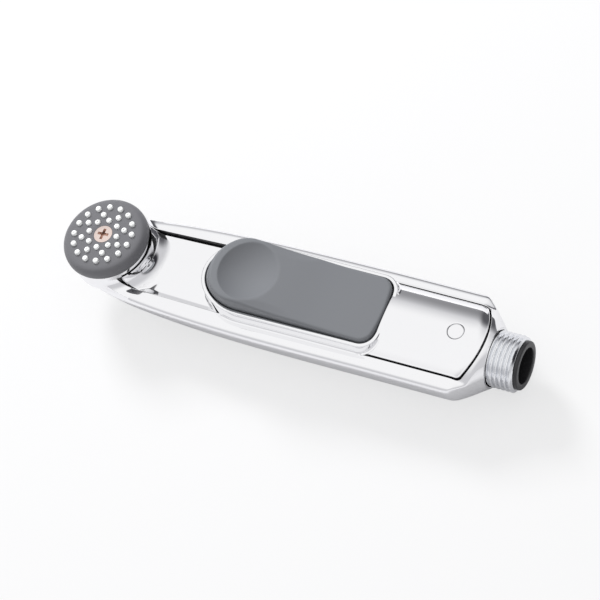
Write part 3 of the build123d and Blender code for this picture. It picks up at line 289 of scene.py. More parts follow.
# %% Sizes of the casing
X_END = 90.9
X_HEAD = -74.388
X_WIDEST = 33.9
X_FACE = 79.4
AXIS = 14.5
BODY_HALF, WIDTH_LOSS, WIDTH_POWER = 20.7, 5.0, 3.6
BACK_RISE, BACK_POWER = 8.9, 2.8
NECK_RUN, NECK_LOSS, NECK_LIFT = 18.3, 0.8, 2.5
RIM, RIM_AT_HEAD, RIM_ROUND = 21.8, 19.9, 3.0
BELLY_FLAT = 0.8
CROWN = 28.1
OPEN_HALF, OPEN_HALF_AT_HEAD = 15.45, 12.3


def share_to_head(x):
    return np.clip((X_WIDEST - x) / (X_WIDEST - X_HEAD), 0, 1)


def neck_share(x):
    return np.clip((X_HEAD + NECK_RUN - x) / NECK_RUN, 0, 1)


def half_width(x):
    return BODY_HALF - WIDTH_LOSS * share_to_head(x) ** WIDTH_POWER - NECK_LOSS * neck_share(x) ** 2


def rim_height(x):
    return RIM - (RIM - RIM_AT_HEAD) * share_to_head(x)


def back_height(x):
    return BACK_RISE * share_to_head(x) ** BACK_POWER + NECK_LIFT * neck_share(x) ** 2


print("casing is", 2 * BODY_HALF, "mm wide, rim at", RIM, "mm")

# %% [markdown]
# ## Curves for the casing
#
# Two helpers draw its curves. An arc is given by its width and its rise, since those can be
# measured. A curve through a few heights could be a spline object, but as a function it can
# be asked for its height at any place.


# %% Helpers for curves
def bow(half, rise):
    """Radius of the arc over a width of twice half that rises by rise."""
    return (half * half + rise * rise) / (2 * rise)


def smooth_curve(at, xs, ys):
    """Smooth curve through points, for numpy arrays."""
    xs, ys = np.asarray(xs, float), np.asarray(ys, float)
    slope = np.diff(ys) / np.diff(xs)
    lean = np.concatenate(([slope[0]], (slope[:-1] + slope[1:]) / 2, [slope[-1]]))
    i = np.clip(np.searchsorted(xs, at) - 1, 0, len(xs) - 2)
    step = xs[i + 1] - xs[i]
    t = np.clip((at - xs[i]) / step, 0, 1)
    rest = 1 - t
    ends = ys[i] * rest * rest * (1 + 2 * t) + ys[i + 1] * t * t * (3 - 2 * t)
    return ends + step * t * rest * (lean[i] * rest - lean[i + 1] * t)


CROWN_BOW = bow(OPEN_HALF, CROWN - RIM)
print("crown is an arc of radius", round(CROWN_BOW, 2), "mm")

# %% [markdown]
# ## The head's own directions
#
# The head leans a little towards the tip, and its bowl, collar, disc and screw all share one
# axis. So places on it are measured out from that axis and up from the collar's top.

# %% The head's own directions
HEAD_LEAN = 5.0
HEAD_TILT = radians(HEAD_LEAN)
HEAD_HEIGHT, COLLAR = 26.1, 15.5
SWEEP, PANEL_SWEEP, SWEEP_TOP = 6.1, 8.1, 1.9
HEAD = Matrix.Translation((X_HEAD, 0, HEAD_HEIGHT)) @ Matrix.Rotation(-HEAD_TILT, 4, "Y")


def in_head(x, y, z):
    """Distance from the head's axis and height above the collar's top."""
    along = (x - X_HEAD) * cos(HEAD_TILT) + (z - HEAD_HEIGHT) * sin(HEAD_TILT)
    up = (z - HEAD_HEIGHT) * cos(HEAD_TILT) - (x - X_HEAD) * sin(HEAD_TILT)
    return np.hypot(along, y), up


print("head leans", HEAD_LEAN, "degrees towards the tip")

# %% [markdown]
# ## Blending fields
#
# Where two fields meet, the larger one cuts a form away and the smaller one adds a form.
# Taking the plain maximum gives a knife edge. This soft maximum rounds the fold instead, and
# its width sets how wide the round is.


# %% Helpers for fields
def blend_high(parts, width):
    """Largest of several fields, with a soft change from one to the next."""
    top = np.maximum.reduce(parts)
    return top + width * np.log(sum(np.exp((part - top) / width) for part in parts))


def blend_low(parts, width):
    return -blend_high([-part for part in parts], width)


ARCH_REACH, ARCH_FALL = 0.97, 4


def arch(y, top, radius):
    """Height of an arc across the body, falling away beyond its own width."""
    reach = np.minimum(np.abs(y), radius * ARCH_REACH)
    return (top - radius + np.sqrt(radius * radius - reach * reach)
            - ARCH_FALL * (np.abs(y) - reach))


print("two equal fields blend to", round(float(blend_low([np.zeros(1)] * 2, 0.2)[0]), 3))

# %% [markdown]
# ## Hull, bevel and dome
#
# The hull is the long boat shape, the bevel is the slope behind the cover, and the dome
# closes the casing down to the inlet. The dome's cross-section changes from wide to round,
# so it is listed at a few distances from the end, and curves join them.

# %% Fields of the hull, the bevel and the dome
FAR = 50.0
STEEP = 0.85
BEVEL_START, BEVEL_SLOPE, BEVEL_ROUND = X_END - 16.5, 0.44, 0.5
BEVEL_CROWN, BEVEL_RIM, BEVEL_SIDE, BEVEL_SIDE_HEIGHT = 28.0, 19.8, 22.0, 19.4
BEVEL_BOW = bow(OPEN_HALF, BEVEL_CROWN - BEVEL_RIM)
# From the inlet's end, half width, height of the widest place above the axis, top, bottom
SHOULDER = np.array((
    (24.0, 21.4, 4.3, 24.0, 16.5),
    (22.0, 20.7, 3.9, 21.0, 15.3),
    (20.0, 19.45, 3.4, 18.5, 14.5),
    (17.5, 17.35, 2.7, 16.0, 13.7),
    (15.0, 14.95, 1.8, 14.0, 12.7),
    (13.0, 12.9, 0.9, 12.5, 11.9),
    (11.5, 11.3, 0.0, 11.4, 11.4),
))


def hull_field(x, y, z, raised=0.0):
    half, side = half_width(x), rim_height(x) + raised - RIM_ROUND
    low = side - back_height(x) + BELLY_FLAT
    corner = np.hypot(np.maximum(np.abs(y) - half + RIM_ROUND, 0), z - side) - RIM_ROUND
    belly = (np.hypot(y / half, (z - side) / low) - 1) * np.minimum(half, low)
    return np.where(z > side, corner, belly)


def bevel_field(x, y, z):
    crown = arch(y, BEVEL_CROWN, BEVEL_BOW)
    fall = (BEVEL_RIM - BEVEL_SIDE_HEIGHT) / (BEVEL_SIDE - OPEN_HALF)
    flank = BEVEL_RIM - (np.abs(y) - OPEN_HALF) * fall
    top = blend_high([crown, flank], BEVEL_ROUND)
    return (z - top + BEVEL_SLOPE * (x - BEVEL_START)) * STEEP


def dome_field(x, y, z):
    from_end = X_END - x
    rows = SHOULDER[::-1]
    half, level, top, bottom = [
        smooth_curve(from_end, rows[:, 0], rows[:, column]) for column in (1, 2, 3, 4)
    ]
    up = z - AXIS - level
    tall = np.where(up > 0, top - level, bottom + level)
    field = (np.hypot(y / half, up / tall) - 1) * np.minimum(half, tall)
    return np.where(from_end > SHOULDER[0, 0], -FAR, field)


print("dome is", 2 * SHOULDER[-1, 1], "mm across at the inlet")

# %% [markdown]
# ## The whole casing
#
# A concave sweep joins the neck to the collar round the head, a crown stands on the rear
# deck, and the parts are blended into one field. Two solvers then find the skin: one out
# from the inlet's axis and one upwards. Halving a range needs no slope and can't run off.

# %% Field of the whole casing
SWEEP_REACH, NECK_ABOVE_RIM, OUT_OF_SWEEP = 30, 8.7, 5.0
CROWN_START = X_WIDEST - 2.3
SWEEP_ROUND, CROWN_ROUND, REAR_ROUND = 0.2, 0.35, 0.22
HALVINGS = 30
NEAREST, FARTHEST = 2.0, 45.0


def sweep_field(x, y, z):
    """Concave sweep that rises from the neck to the collar round the head."""
    out, up = in_head(x, y, z)
    centre = COLLAR + SWEEP
    hollow = SWEEP - np.hypot(out - centre, up + SWEEP_TOP)
    field = np.where(out < centre, np.maximum(hollow, up + SWEEP_TOP), OUT_OF_SWEEP)
    field = np.where(out < COLLAR, up + SWEEP_TOP, field)
    neck = np.maximum(field, hull_field(x, y, z, NECK_ABOVE_RIM))
    return np.where(x < X_HEAD + SWEEP_REACH, neck, FAR)


def casing_field(x, y, z):
    hull = blend_low([hull_field(x, y, z), sweep_field(x, y, z)], SWEEP_ROUND)
    hull = np.maximum(hull, -z)
    crown = (z - arch(y, CROWN, CROWN_BOW)) * STEEP
    raised = np.where(z > RIM - RIM_ROUND, blend_low([hull, crown], CROWN_ROUND), hull)
    raised = np.where(x > CROWN_START, raised, hull)
    return blend_high([raised, bevel_field(x, y, z), dome_field(x, y, z)], REAR_ROUND)


def casing_radius(x, angle):
    """Distance from the inlet's axis to the skin, in a direction measured from upright."""
    near, far = np.full(np.shape(x), NEAREST), np.full(np.shape(x), FARTHEST)
    for _ in range(HALVINGS):
        middle = (near + far) / 2
        inside = casing_field(x, middle * np.sin(angle), AXIS + middle * np.cos(angle)) < 0
        near, far = np.where(inside, middle, near), np.where(inside, far, middle)
    return near


def deck_height(x, y):
    """Height of the skin above a point of the plan."""
    low, high = np.full(np.shape(x), AXIS + 1.0), np.full(np.shape(x), FARTHEST)
    for _ in range(HALVINGS):
        middle = (low + high) / 2
        inside = casing_field(x, y, middle) < 0
        low, high = np.where(inside, middle, low), np.where(inside, high, middle)
    return low


crown_check = float(deck_height(np.array([60.0]), np.array([0.0]))[0])
print("crown stands at", round(crown_check, 2), "mm")

# %% [markdown]
# ## Plans of the opening and of the lever
#
# The cover drops into an opening in the casing with a bowed rear and round corners, and the
# lever drops into a well in the cover with an elliptical nose. Both outlines are rules too:
# the distance inside them, which is all that is needed to trim a skin along them or to hold
# an even gap.

# %% Outlines
OPEN_REAR = X_END - 13.4
OPEN_BOW = bow(OPEN_HALF, 5.6)
OPEN_CORNER = 3.0
LEVER_FRONT, LEVER_REAR = -32.6, 37.9
LEVER_HALF, LEVER_NOSE, LEVER_BOW, LEVER_CORNER = 13.4, 17.0, 1.4, 5.0


def rounded_end(x, y, half, rear, bowed, corner):
    """Distance inside an outline with straight sides, a bowed rear and round corners."""
    y = np.abs(y)
    centre = rear - bowed
    to_rear = np.where(x > centre, bowed - np.hypot(x - centre, y), bowed)
    distance = np.minimum(half - y, to_rear)
    side = half - corner
    along = np.sqrt((bowed - corner) ** 2 - side**2)
    dx, dy = x - centre - along, y - side
    at_corner = (dx > 0) & (dy * along - dx * side > 0)
    return np.where(at_corner, corner - np.hypot(dx, dy), distance)


def in_opening(x, y):
    """Distance inside the casing's opening."""
    half = OPEN_HALF - (OPEN_HALF - OPEN_HALF_AT_HEAD) * share_to_head(x)
    return rounded_end(x, y, half, OPEN_REAR, OPEN_BOW, OPEN_CORNER)


def in_lever(x, y, grow):
    """Distance inside the lever's outline, grown on every side."""
    half, rear = LEVER_HALF + grow, LEVER_REAR + grow
    end = rounded_end(x, y, half, rear, bow(half, LEVER_BOW), LEVER_CORNER + grow)
    centre = LEVER_FRONT + LEVER_NOSE
    reach = np.hypot((x - centre) / (LEVER_NOSE + grow), y / half)
    nose = (1 - reach) * half
    return np.where(x < centre, nose, end)


print("opening ends at x =", round(OPEN_REAR, 1), "mm")

# %% [markdown]
# ## Trimming a skin along an outline
#
# A boolean cut leaves long thin faces, and chrome shows them. Instead a fine grid is laid on
# the skin, the grid points next to the outline are moved onto it, and the faces beyond it are
# left out. Then the cut edge is rolled over and down, as on a real plated moulding, which
# catches the light as a fine line beside each gap.


# %% Helper for trimmed skins
EDGE_HALVINGS = 26
NOT_MOVED = 2.0


def trimmed(us, vs, keep, place):
    """Points, faces and cut edges of the part of a grid where keep(u, v) is positive."""
    u, v = np.meshgrid(us, vs, indexing="ij")
    inside = keep(u, v)
    moved = np.full(u.shape, NOT_MOVED)
    new_u, new_v = u.copy(), v.copy()
    for di, dj in ((1, 0), (0, 1)):
        a = (slice(0, u.shape[0] - di), slice(0, u.shape[1] - dj))
        i, j = np.nonzero((inside[a] > 0) != (inside[di:, dj:] > 0))
        start_u, start_v = u[i, j], v[i, j]
        run_u, run_v = u[i + di, j + dj] - start_u, v[i + di, j + dj] - start_v
        low, high = np.zeros(len(i)), np.ones(len(i))
        for _ in range(EDGE_HALVINGS):
            middle = (low + high) / 2
            kept_there = keep(start_u + run_u * middle, start_v + run_v * middle) > 0
            same = kept_there == (inside[i, j] > 0)
            low, high = np.where(same, middle, low), np.where(same, high, middle)
        for k in range(len(i)):
            first = low[k] <= 0.5
            at = (i[k], j[k]) if first else (i[k] + di, j[k] + dj)
            distance = low[k] if first else 1 - low[k]
            if distance < moved[at]:
                moved[at] = distance
                new_u[at] = start_u[k] + run_u[k] * low[k]
                new_v[at] = start_v[k] + run_v[k] * low[k]
    on_edge = moved < NOT_MOVED
    kept = on_edge | (inside > 0)
    points = place(new_u, new_v).reshape(-1, 3)
    columns = u.shape[1]
    corners = ((0, 0), (1, 0), (1, 1), (0, 1))
    kept_corners = kept[:-1, :-1].astype(int) + kept[1:, :-1] + kept[:-1, 1:] + kept[1:, 1:]
    faces = []
    for i, j in zip(*np.nonzero(kept_corners >= 3)):
        cell = [(i + a, j + b) for a, b in corners if kept[i + a, j + b]]
        if all(on_edge[c] for c in cell):
            middle_u = np.array([np.mean([new_u[c] for c in cell])])
            middle_v = np.array([np.mean([new_v[c] for c in cell])])
            if keep(middle_u, middle_v)[0] <= 0:
                continue
        faces.append(tuple(int(a * columns + b) for a, b in cell))
    return points, faces, on_edge.reshape(-1)


grid = np.linspace(-1, 1, 5)
round_bit = trimmed(grid, grid, lambda u, v: 0.9 - np.hypot(u, v),
                    lambda u, v: np.stack((u, v, u * 0), axis=-1))
print("a small trial grid keeps", len(round_bit[1]), "of 16 cells")

# %% [markdown]
# ## Rolling the cut edges
#
# Only edges with a face on one side are cut edges. Each of their points steps outwards and
# down a quarter circle, and then straight down into the gap. A bevel modifier could round
# them, but it would also round the grid's other open ends.


# %% Helper for rolled edges
NO_LENGTH, NO_SIDE = 1e-6, 1e-9


def rolled(points, faces, on_edge, steps, beyond=0.0):
    """Rolls the cut edges that lie beyond a distance from the head outwards and down."""
    points = [np.array(p) for p in points]
    faces = list(faces)
    used = {}
    for number, face in enumerate(faces):
        for a, b in zip(face, face[1:] + face[:1]):
            used.setdefault((min(a, b), max(a, b)), []).append((a, b, number))
    rims = [uses[0] for edge, uses in used.items()
            if len(uses) == 1 and on_edge[edge[0]] and on_edge[edge[1]]
            and hypot(points[edge[0]][0] - X_HEAD, points[edge[0]][1]) > beyond]
    outward = {}
    for a, b, number in rims:
        along = points[b] - points[a]
        side = np.array((along[1], -along[0], 0.0))
        middle = sum(points[k] for k in faces[number]) / len(faces[number])
        if np.dot(side, (points[a] + points[b]) / 2 - middle) < 0:
            side = -side
        length = np.linalg.norm(side)
        if length < NO_LENGTH:
            continue
        for k in (a, b):
            outward[k] = outward.get(k, 0) + side / length
    rings = {}
    for k, side in outward.items():
        side = side / max(np.linalg.norm(side), NO_SIDE)
        rings[k] = [k]
        for out, down in steps:
            rings[k].append(len(points))
            points.append(points[k] + side * out - np.array((0, 0, down)))
    for a, b, number in rims:
        if a in rings and b in rings:
            for step in range(len(steps)):
                faces.append((rings[a][step], rings[b][step],
                              rings[b][step + 1], rings[a][step + 1]))
    return points, faces


ROLL_OUT, ROLL_END = 0.3, 0.5
ROLL = tuple((ROLL_OUT * sin(radians(a)), ROLL_OUT * (1 - cos(radians(a))))
             for a in range(15, 91, 15)) + ((ROLL_OUT, ROLL_END),)
print("cut edges roll out by", ROLL_OUT, "mm in", len(ROLL), "steps")

# %% [markdown]
# ## The casing
#
# The skin runs from inside the head to the rear face. It could be one grid over the plan, but
# the sides are steep, so the grid is laid in the direction round the inlet's axis instead,
# finer over the top and the rear, where the folds are. The bowl of the head is turned, and
# its collar stands up under the spray face.


# %% Skin of the casing
NOT_IN_OPENING = 5.0
SWEEP_END, REAR_START, TOP_ANGLE = X_HEAD + 26, X_END - 34, radians(78)
CASING_LIP = 6.0


def casing_place(x, angle):
    radius = casing_radius(x, angle)
    return np.stack((x, radius * np.sin(angle), AXIS + radius * np.cos(angle)), axis=-1)


def casing_keep(x, angle):
    radius = casing_radius(x, angle)
    outside = -in_opening(x, radius * np.sin(angle)) - ROLL_OUT
    return np.where(np.cos(angle) > 0.0, outside, NOT_IN_OPENING)


stations = np.concatenate((
    np.arange(X_HEAD + 1, SWEEP_END, 0.35), np.arange(SWEEP_END, REAR_START, 1.1),
    np.arange(REAR_START, X_FACE + 0.01, 0.25)))
stations[-1] = X_FACE
upper = np.linspace(0, TOP_ANGLE, 170)
lower = np.linspace(TOP_ANGLE, pi, 60)[1:]
half_turn = np.concatenate((upper, lower))
directions = np.concatenate((-half_turn[:0:-1], half_turn))
skin, skin_faces, skin_edge = trimmed(stations, directions, casing_keep, casing_place)
skin, skin_faces = rolled(skin, skin_faces, skin_edge, ROLL + ((ROLL_OUT, CASING_LIP),))
print("skin of the casing:", len(skin_faces), "faces")

# %% [markdown]
# ## Bowl and rear face
#
# The head ends in a half-round bowl under the collar, and the casing ends in a flat ring
# round the inlet. Both are turned, and they join the skin as one piece.

# %% Bowl of the head and rear face
BOWL_LEVEL, BOWL_RADIUS, BOWL_TOP_RADIUS, BOWL_DEPTH = -7.0, 15.6, 15.5, 16.0
BOWL_STEPS, BOWL_TAPER = 12, 0.1
COLLAR_INSIDE, COLLAR_DEPTH = 14.2, -6.0
REAR_EDGE, REAR_HOLE, REAR_HOLE_DEPTH = 11.3, 10.56, 3.0
bowl = [(BOWL_RADIUS * sin(radians(a)), BOWL_LEVEL - (BOWL_DEPTH + BOWL_LEVEL) * cos(radians(a)))
        for a in range(0, 91, 2)]
bowl += [(BOWL_RADIUS - BOWL_TAPER * t / BOWL_STEPS, BOWL_LEVEL * (1 - t / BOWL_STEPS))
         for t in range(1, BOWL_STEPS)]
bowl += [(BOWL_TOP_RADIUS - 0.02, -0.25), (BOWL_TOP_RADIUS - 0.12, -0.08),
         (BOWL_TOP_RADIUS - 0.3, 0.0), (COLLAR_INSIDE, 0.0), (COLLAR_INSIDE, COLLAR_DEPTH)]
rear_place = Matrix.Translation((0, 0, AXIS)) @ Matrix.Rotation(radians(90), 4, "Y")
rear_face = [(REAR_EDGE + 0.05, X_FACE - 0.15), (REAR_EDGE, X_FACE), (REAR_HOLE, X_FACE),
             (REAR_HOLE, X_FACE - REAR_HOLE_DEPTH)]
casing = joined(((skin, skin_faces), turned(bowl, HEAD, 128),
                 turned(rear_face, rear_place, 128)))
print("bowl and rear face bring the casing to", len(casing[1]), "faces")

# %% [markdown]
# ## Painted shade in the gaps
#
# Hardly any light gets down into a narrow gap, so the gaps round the cover, the collar and
# the lever look black. Chrome walls would pass the light on and show the gaps as grey. So the
# faces down in the gaps are taken out of the plated skins and are kept apart, to be coloured
# black as painted shade.

# %% Painted shade on the gap walls
GAP = 0.45
SHADE_ROLL, SHADE_DEPTH = 0.16, 0.06
COLLAR_NEAR, COLLAR_DOWN, WELL_NEAR, WELL_DOWN = 0.04, 0.3, 0.04, 0.9
UPRIGHT = 0.02
FRAME_TOP, FRAME_WALL = 26.8, 1.5


def sorted_faces(points, faces):
    """Plated faces, and the upright ones in a gap, which get painted shade in black."""
    corners = np.array([np.asarray(p, float) for p in points])
    centres = np.array([corners[list(face)].mean(axis=0) for face in faces])
    x, y, z = centres.T
    spans = np.array([np.ptp(corners[list(face)][:, 2]) for face in faces])
    edge = in_opening(x, y)
    out, up = in_head(x, y, z)
    in_slot = (edge > -SHADE_ROLL) & (edge < GAP + SHADE_ROLL)
    in_slot &= z < deck_height(x, y) - SHADE_DEPTH
    collar = (out < COLLAR + GAP + COLLAR_NEAR) & (up < -SWEEP_TOP - COLLAR_DOWN)
    collar &= (edge > 0) & (x > X_HEAD)
    well = (np.abs(in_lever(x, y, GAP)) < WELL_NEAR) & (z < FRAME_TOP - WELL_DOWN)
    # upright faces down in the gaps are picked out to be coloured black: painted shade
    shaded = (spans > UPRIGHT) & (in_slot | collar | well) & (z > AXIS)
    plated = [face for face, is_shaded in zip(faces, shaded) if not is_shaded]
    return plated, [face for face, is_shaded in zip(faces, shaded) if is_shaded]


# the casing's faces in its gap are kept apart for the painted shade
plated, casing_shaded = sorted_faces(*casing)
piece("casing_shell", casing[0], plated, CHROME, stands_for=("body_shell",), sharp=34)
print("bare faces in the casing's gap:", len(casing_shaded))

# %% [markdown]
# ## The cover
#
# The cover is a second chrome moulding: a crowned deck behind the lever with a hole for a
# small round cap, a sunk panel between head and lever, and a frame that stands up round the
# lever's well. They are separate skins here, since each has its own rule, but they become
# one piece, as the cover is.

# %% Deck of the cover
CAP_X, CAP_HOLE = 66.2, 3.15
DECK_START, DECK_HALF, DECK_STEP, DECK_LIP = 30.0, 16.0, 0.25, 2.2


def deck_place(x, y):
    return np.stack((x, y, deck_height(x, y)), axis=-1)


def deck_keep(x, y):
    edge = in_opening(x, y) - GAP - ROLL_OUT
    well = -in_lever(x, y, GAP) - ROLL_OUT
    cap = np.hypot(x - CAP_X, y) - CAP_HOLE - ROLL_OUT
    return np.minimum(np.minimum(edge, well), cap)


deck, deck_faces, deck_edge = trimmed(
    np.arange(DECK_START, OPEN_REAR + 0.3, DECK_STEP),
    np.arange(-DECK_HALF, DECK_HALF + 0.01, DECK_STEP), deck_keep, deck_place)
deck, deck_faces = rolled(deck, deck_faces, deck_edge, ROLL + ((ROLL_OUT, DECK_LIP),))
print("deck:", len(deck_faces), "faces")

# %% [markdown]
# ## The sunk panel
#
# Between head and lever the cover lies some millimetres below the rim, with a narrow strip
# that rises to its edges. Towards the head it turns up in a sweep, which follows the head's
# round collar. So the height of the sweep is found step by step from the head's own
# directions, and the panel is the higher of the two, with a soft change.

# %% Sunk panel of the cover
PANEL, PANEL_RISE, PANEL_STRIP = 18.0, 0.6, 2.0
STRIP_ROUND, PANEL_ROUND = 0.03, 0.06
SWEEP_START, SWEEP_DEPTH = COLLAR + GAP, PANEL_SWEEP + 0.35
SWEEP_TRIES, SWEEP_LIMIT, SWEEP_FALL = 12, 0.98, 0.4
PANEL_FROM_SWEEP, PANEL_LIP = 3.6, 1.8


def sweep_height(x, y):
    """Height of the sweep that carries the panel up to the head."""
    z = np.full(np.shape(x), PANEL)
    for _ in range(SWEEP_TRIES):
        out = in_head(x, y, z)[0]
        share = np.clip((SWEEP_START + PANEL_SWEEP - out) / PANEL_SWEEP, 0, SWEEP_LIMIT)
        level = -SWEEP_TOP - SWEEP_DEPTH * np.sqrt(1 - share * share)
        z = HEAD_HEIGHT + (level + (x - X_HEAD) * sin(HEAD_TILT)) / cos(HEAD_TILT)
        z = z - SWEEP_FALL * np.maximum(out - SWEEP_START - PANEL_SWEEP, 0)
    return z


def panel_place(x, y):
    edge = in_opening(x, y) - GAP
    strip = PANEL_RISE * (1 - edge / PANEL_STRIP)
    flat = PANEL + blend_high([strip, np.zeros_like(strip)], STRIP_ROUND)
    return np.stack((x, y, blend_high([flat, sweep_height(x, y)], PANEL_ROUND)), axis=-1)


def panel_keep(x, y):
    edge = in_opening(x, y) - GAP - ROLL_OUT
    well = -in_lever(x, y, GAP + 0.3)
    from_sweep = np.hypot(x - X_HEAD, y) - SWEEP_START - PANEL_FROM_SWEEP
    return np.minimum(np.minimum(edge, well), from_sweep)


panel, panel_faces, panel_edge = trimmed(
    np.arange(-60.0, -18.0, 0.3), np.arange(-15.0, 15.01, 0.2), panel_keep, panel_place)
panel, panel_faces = rolled(panel, panel_faces, panel_edge, ROLL + ((ROLL_OUT, PANEL_LIP),),
                            SWEEP_START + PANEL_FROM_SWEEP + 0.1)
print("panel:", len(panel_faces), "faces")

# %% [markdown]
# ## The sweep up to the head
#
# Near the collar the sweep is too steep for a grid over the plan. There its profile is spun
# about the head's axis, and the turned skin is trimmed along the opening like the others.

# %% Sweep of the panel up to the head
WALL_LEVELS = ((0.0, -6.0), (0.0, -2.9), (0.0, -2.5), (0.02, -2.3), (0.07, -2.2))
SWEEP_HALF_TURN, SWEEP_ANGLES = radians(75), 220

sweep_line = [(SWEEP_START + out, up) for out, up in WALL_LEVELS]
for a in np.linspace(8, 62, 60):
    sweep_line.append((SWEEP_START + PANEL_SWEEP * (1 - cos(radians(a))),
                       -SWEEP_TOP - SWEEP_DEPTH * sin(radians(a))))
sweep_line = np.array(sweep_line)


def sweep_place(row, angle):
    """Place on the sweep for a row of its profile and an angle about the head's axis."""
    out = np.interp(row, np.arange(len(sweep_line)), sweep_line[:, 0])
    up = np.interp(row, np.arange(len(sweep_line)), sweep_line[:, 1])
    along, side = out * np.cos(angle), out * np.sin(angle)
    x = X_HEAD + along * cos(HEAD_TILT) - up * sin(HEAD_TILT)
    z = HEAD_HEIGHT + along * sin(HEAD_TILT) + up * cos(HEAD_TILT)
    return np.stack((x, side, z), axis=-1)


def sweep_keep(row, angle):
    place = sweep_place(row, angle)
    return in_opening(place[..., 0], place[..., 1]) - GAP - ROLL_OUT


sweep, sweep_faces, sweep_edge = trimmed(
    np.arange(len(sweep_line)), np.linspace(-SWEEP_HALF_TURN, SWEEP_HALF_TURN, SWEEP_ANGLES),
    sweep_keep, sweep_place)
sweep, sweep_faces = rolled(sweep, sweep_faces, sweep_edge, ROLL)
print("sweep:", len(sweep_faces), "faces")

# %% [markdown]
# ## Outline of the lever as points
#
# The frame and the lever are built from closed rings. Each ring is the lever's outline,
# grown or shrunk, and always has as many points, so that rings join up without a search.


# %% Helpers for rings
def lever_line(grow, front=LEVER_FRONT, nose=LEVER_NOSE):
    """Points of the lever's outline, always as many, grown on every side."""
    half, rear, corner = LEVER_HALF + grow, LEVER_REAR + grow, LEVER_CORNER + grow
    bowed = bow(half, LEVER_BOW)
    side = half - corner
    along = rear - bowed + np.sqrt((bowed - corner) ** 2 - side**2)
    turn_end = np.arctan2(side, along - rear + bowed)
    centre = front + nose
    out = [(centre - (nose + grow) * cos(a), half * sin(a)) for a in np.linspace(0, pi / 2, 81)]
    out += [(x, half) for x in np.linspace(centre, along, 71)[1:]]
    out += [(along + corner * sin(a), side + corner * cos(a))
            for a in np.linspace(0, pi / 2 - turn_end, 25)[1:]]
    out += [(rear - bowed + bowed * cos(a), bowed * sin(a))
            for a in np.linspace(turn_end, 0, 31)[1:]]
    other = [(x, -y) for x, y in out[-2:0:-1]]
    return np.array(out + other)


def rings(levels):
    """Points and faces of closed rings, given as arrays of points of equal number."""
    count = len(levels[0])
    points = np.concatenate(levels)
    faces = []
    for k in range(len(levels) - 1):
        for i in range(count):
            j = (i + 1) % count
            low, high = k * count, (k + 1) * count
            faces.append((low + i, low + j, high + j, high + i))
    return points, faces


def at_height(line, height):
    return np.column_stack((line, np.broadcast_to(height, len(line))))


print("a ring of the lever has", len(lever_line(0)), "points")

# %% [markdown]
# ## The frame round the lever
#
# The frame stands up round the well as a thin wall with rounded edges, and its foot runs
# into panel, rim and deck in a small fillet. Its foot follows whatever it stands on, so the
# height under each point of the outer ring is looked up first.

# %% Frame round the lever
INNER_ROUND, OUTER_ROUND, WELL_FLOOR = 0.35, 0.5, 15.5
FILLET = ((0.0, 1.2), (0.04, 0.8), (0.15, 0.42), (0.36, 0.16), (0.7, 0.03), (0.9, -0.1))
RIM_BLUR = 0.15

outer = lever_line(GAP + FRAME_WALL)
over_rim = 1 / (1 + np.exp(in_opening(outer[:, 0], outer[:, 1]) / RIM_BLUR))
rim_here = np.where(outer[:, 0] > X_WIDEST, deck_height(outer[:, 0], outer[:, 1]),
                    rim_height(outer[:, 0]))
base = PANEL + (rim_here - PANEL) * np.where(outer[:, 0] > 0, 1.0, over_rim)
levels = [at_height(lever_line(GAP), height)
          for height in (WELL_FLOOR, FRAME_TOP - 1.2, FRAME_TOP - INNER_ROUND)]
for a in range(20, 181, 20):
    if a <= 90:
        across = GAP + INNER_ROUND - INNER_ROUND * cos(radians(a))
        drop = INNER_ROUND * (1 - sin(radians(a)))
    else:
        across = GAP + FRAME_WALL - OUTER_ROUND - OUTER_ROUND * cos(radians(a))
        drop = OUTER_ROUND * (1 - sin(radians(a)))
    levels.append(at_height(lever_line(across), FRAME_TOP - drop))
for out, up in FILLET:
    levels.append(at_height(lever_line(GAP + FRAME_WALL + out),
                            np.minimum(base + up, FRAME_TOP - 0.6)))
levels.append(at_height(lever_line(GAP + FRAME_WALL + 0.5), base - 0.6))
frame_rings = rings(levels)
print("frame stands", round(FRAME_TOP - PANEL, 2), "mm above the panel")

# %% [markdown]
# ## The cover as one piece
#
# Deck, panel, sweep and frame are joined and sorted. Their plated faces make the chrome
# cover, and the faces down in the gaps of both mouldings make one black piece of painted
# shade. It stands for no node of its own, since it belongs to two of them.

# %% Join the cover
cover = joined(((deck, deck_faces), (panel, panel_faces), (sweep, sweep_faces), frame_rings))
plated, cover_shaded = sorted_faces(*cover)
piece("chrome_cover", cover[0], plated, CHROME, stands_for=("top_cover",), sharp=34)
# the black colour on these gap walls is painted shade
piece("painted_shade_gap_walls", *joined(((casing[0], casing_shaded), (cover[0], cover_shaded))),
      BLACK_PLASTIC_AND_GAP_SHADE, sharp=34)

# %% [markdown]
# ## The cap over the screw
#
# A small round cap hides the screw that holds the cover. It is a shallow dome with a rolled
# edge, and the fine ring of shade round it is the gap.

# %% Cap
CAP_SUNK = 0.06
cap_profile = [(0.0, 0.06), (1.2, 0.05), (2.2, 0.0), (2.65, -0.04), (2.85, -0.09),
               (2.98, -0.2), (3.03, -0.36), (3.03, -1.1), (0.0, -1.1)]
cap_top = float(deck_height(np.array([CAP_X]), np.array([0.0]))[0]) - CAP_SUNK
piece("screw_cap_dome", *turned(cap_profile, Matrix.Translation((CAP_X, 0, cap_top)), 64),
      CHROME, stands_for=("screw_cap",), sharp=60)

# %% [markdown]
# ## The thumb lever
#
# The lever is grey plastic with a satin skin. Its top rises towards the nose, where a round
# dish holds the thumb, and two shallow hollows run back along its sides from the dish. It
# could be sculpted, but the real one is cut from a few simple surfaces, so its height is a
# rule again: the lowest of the side view's curve, the dish's sphere and two large spheres.

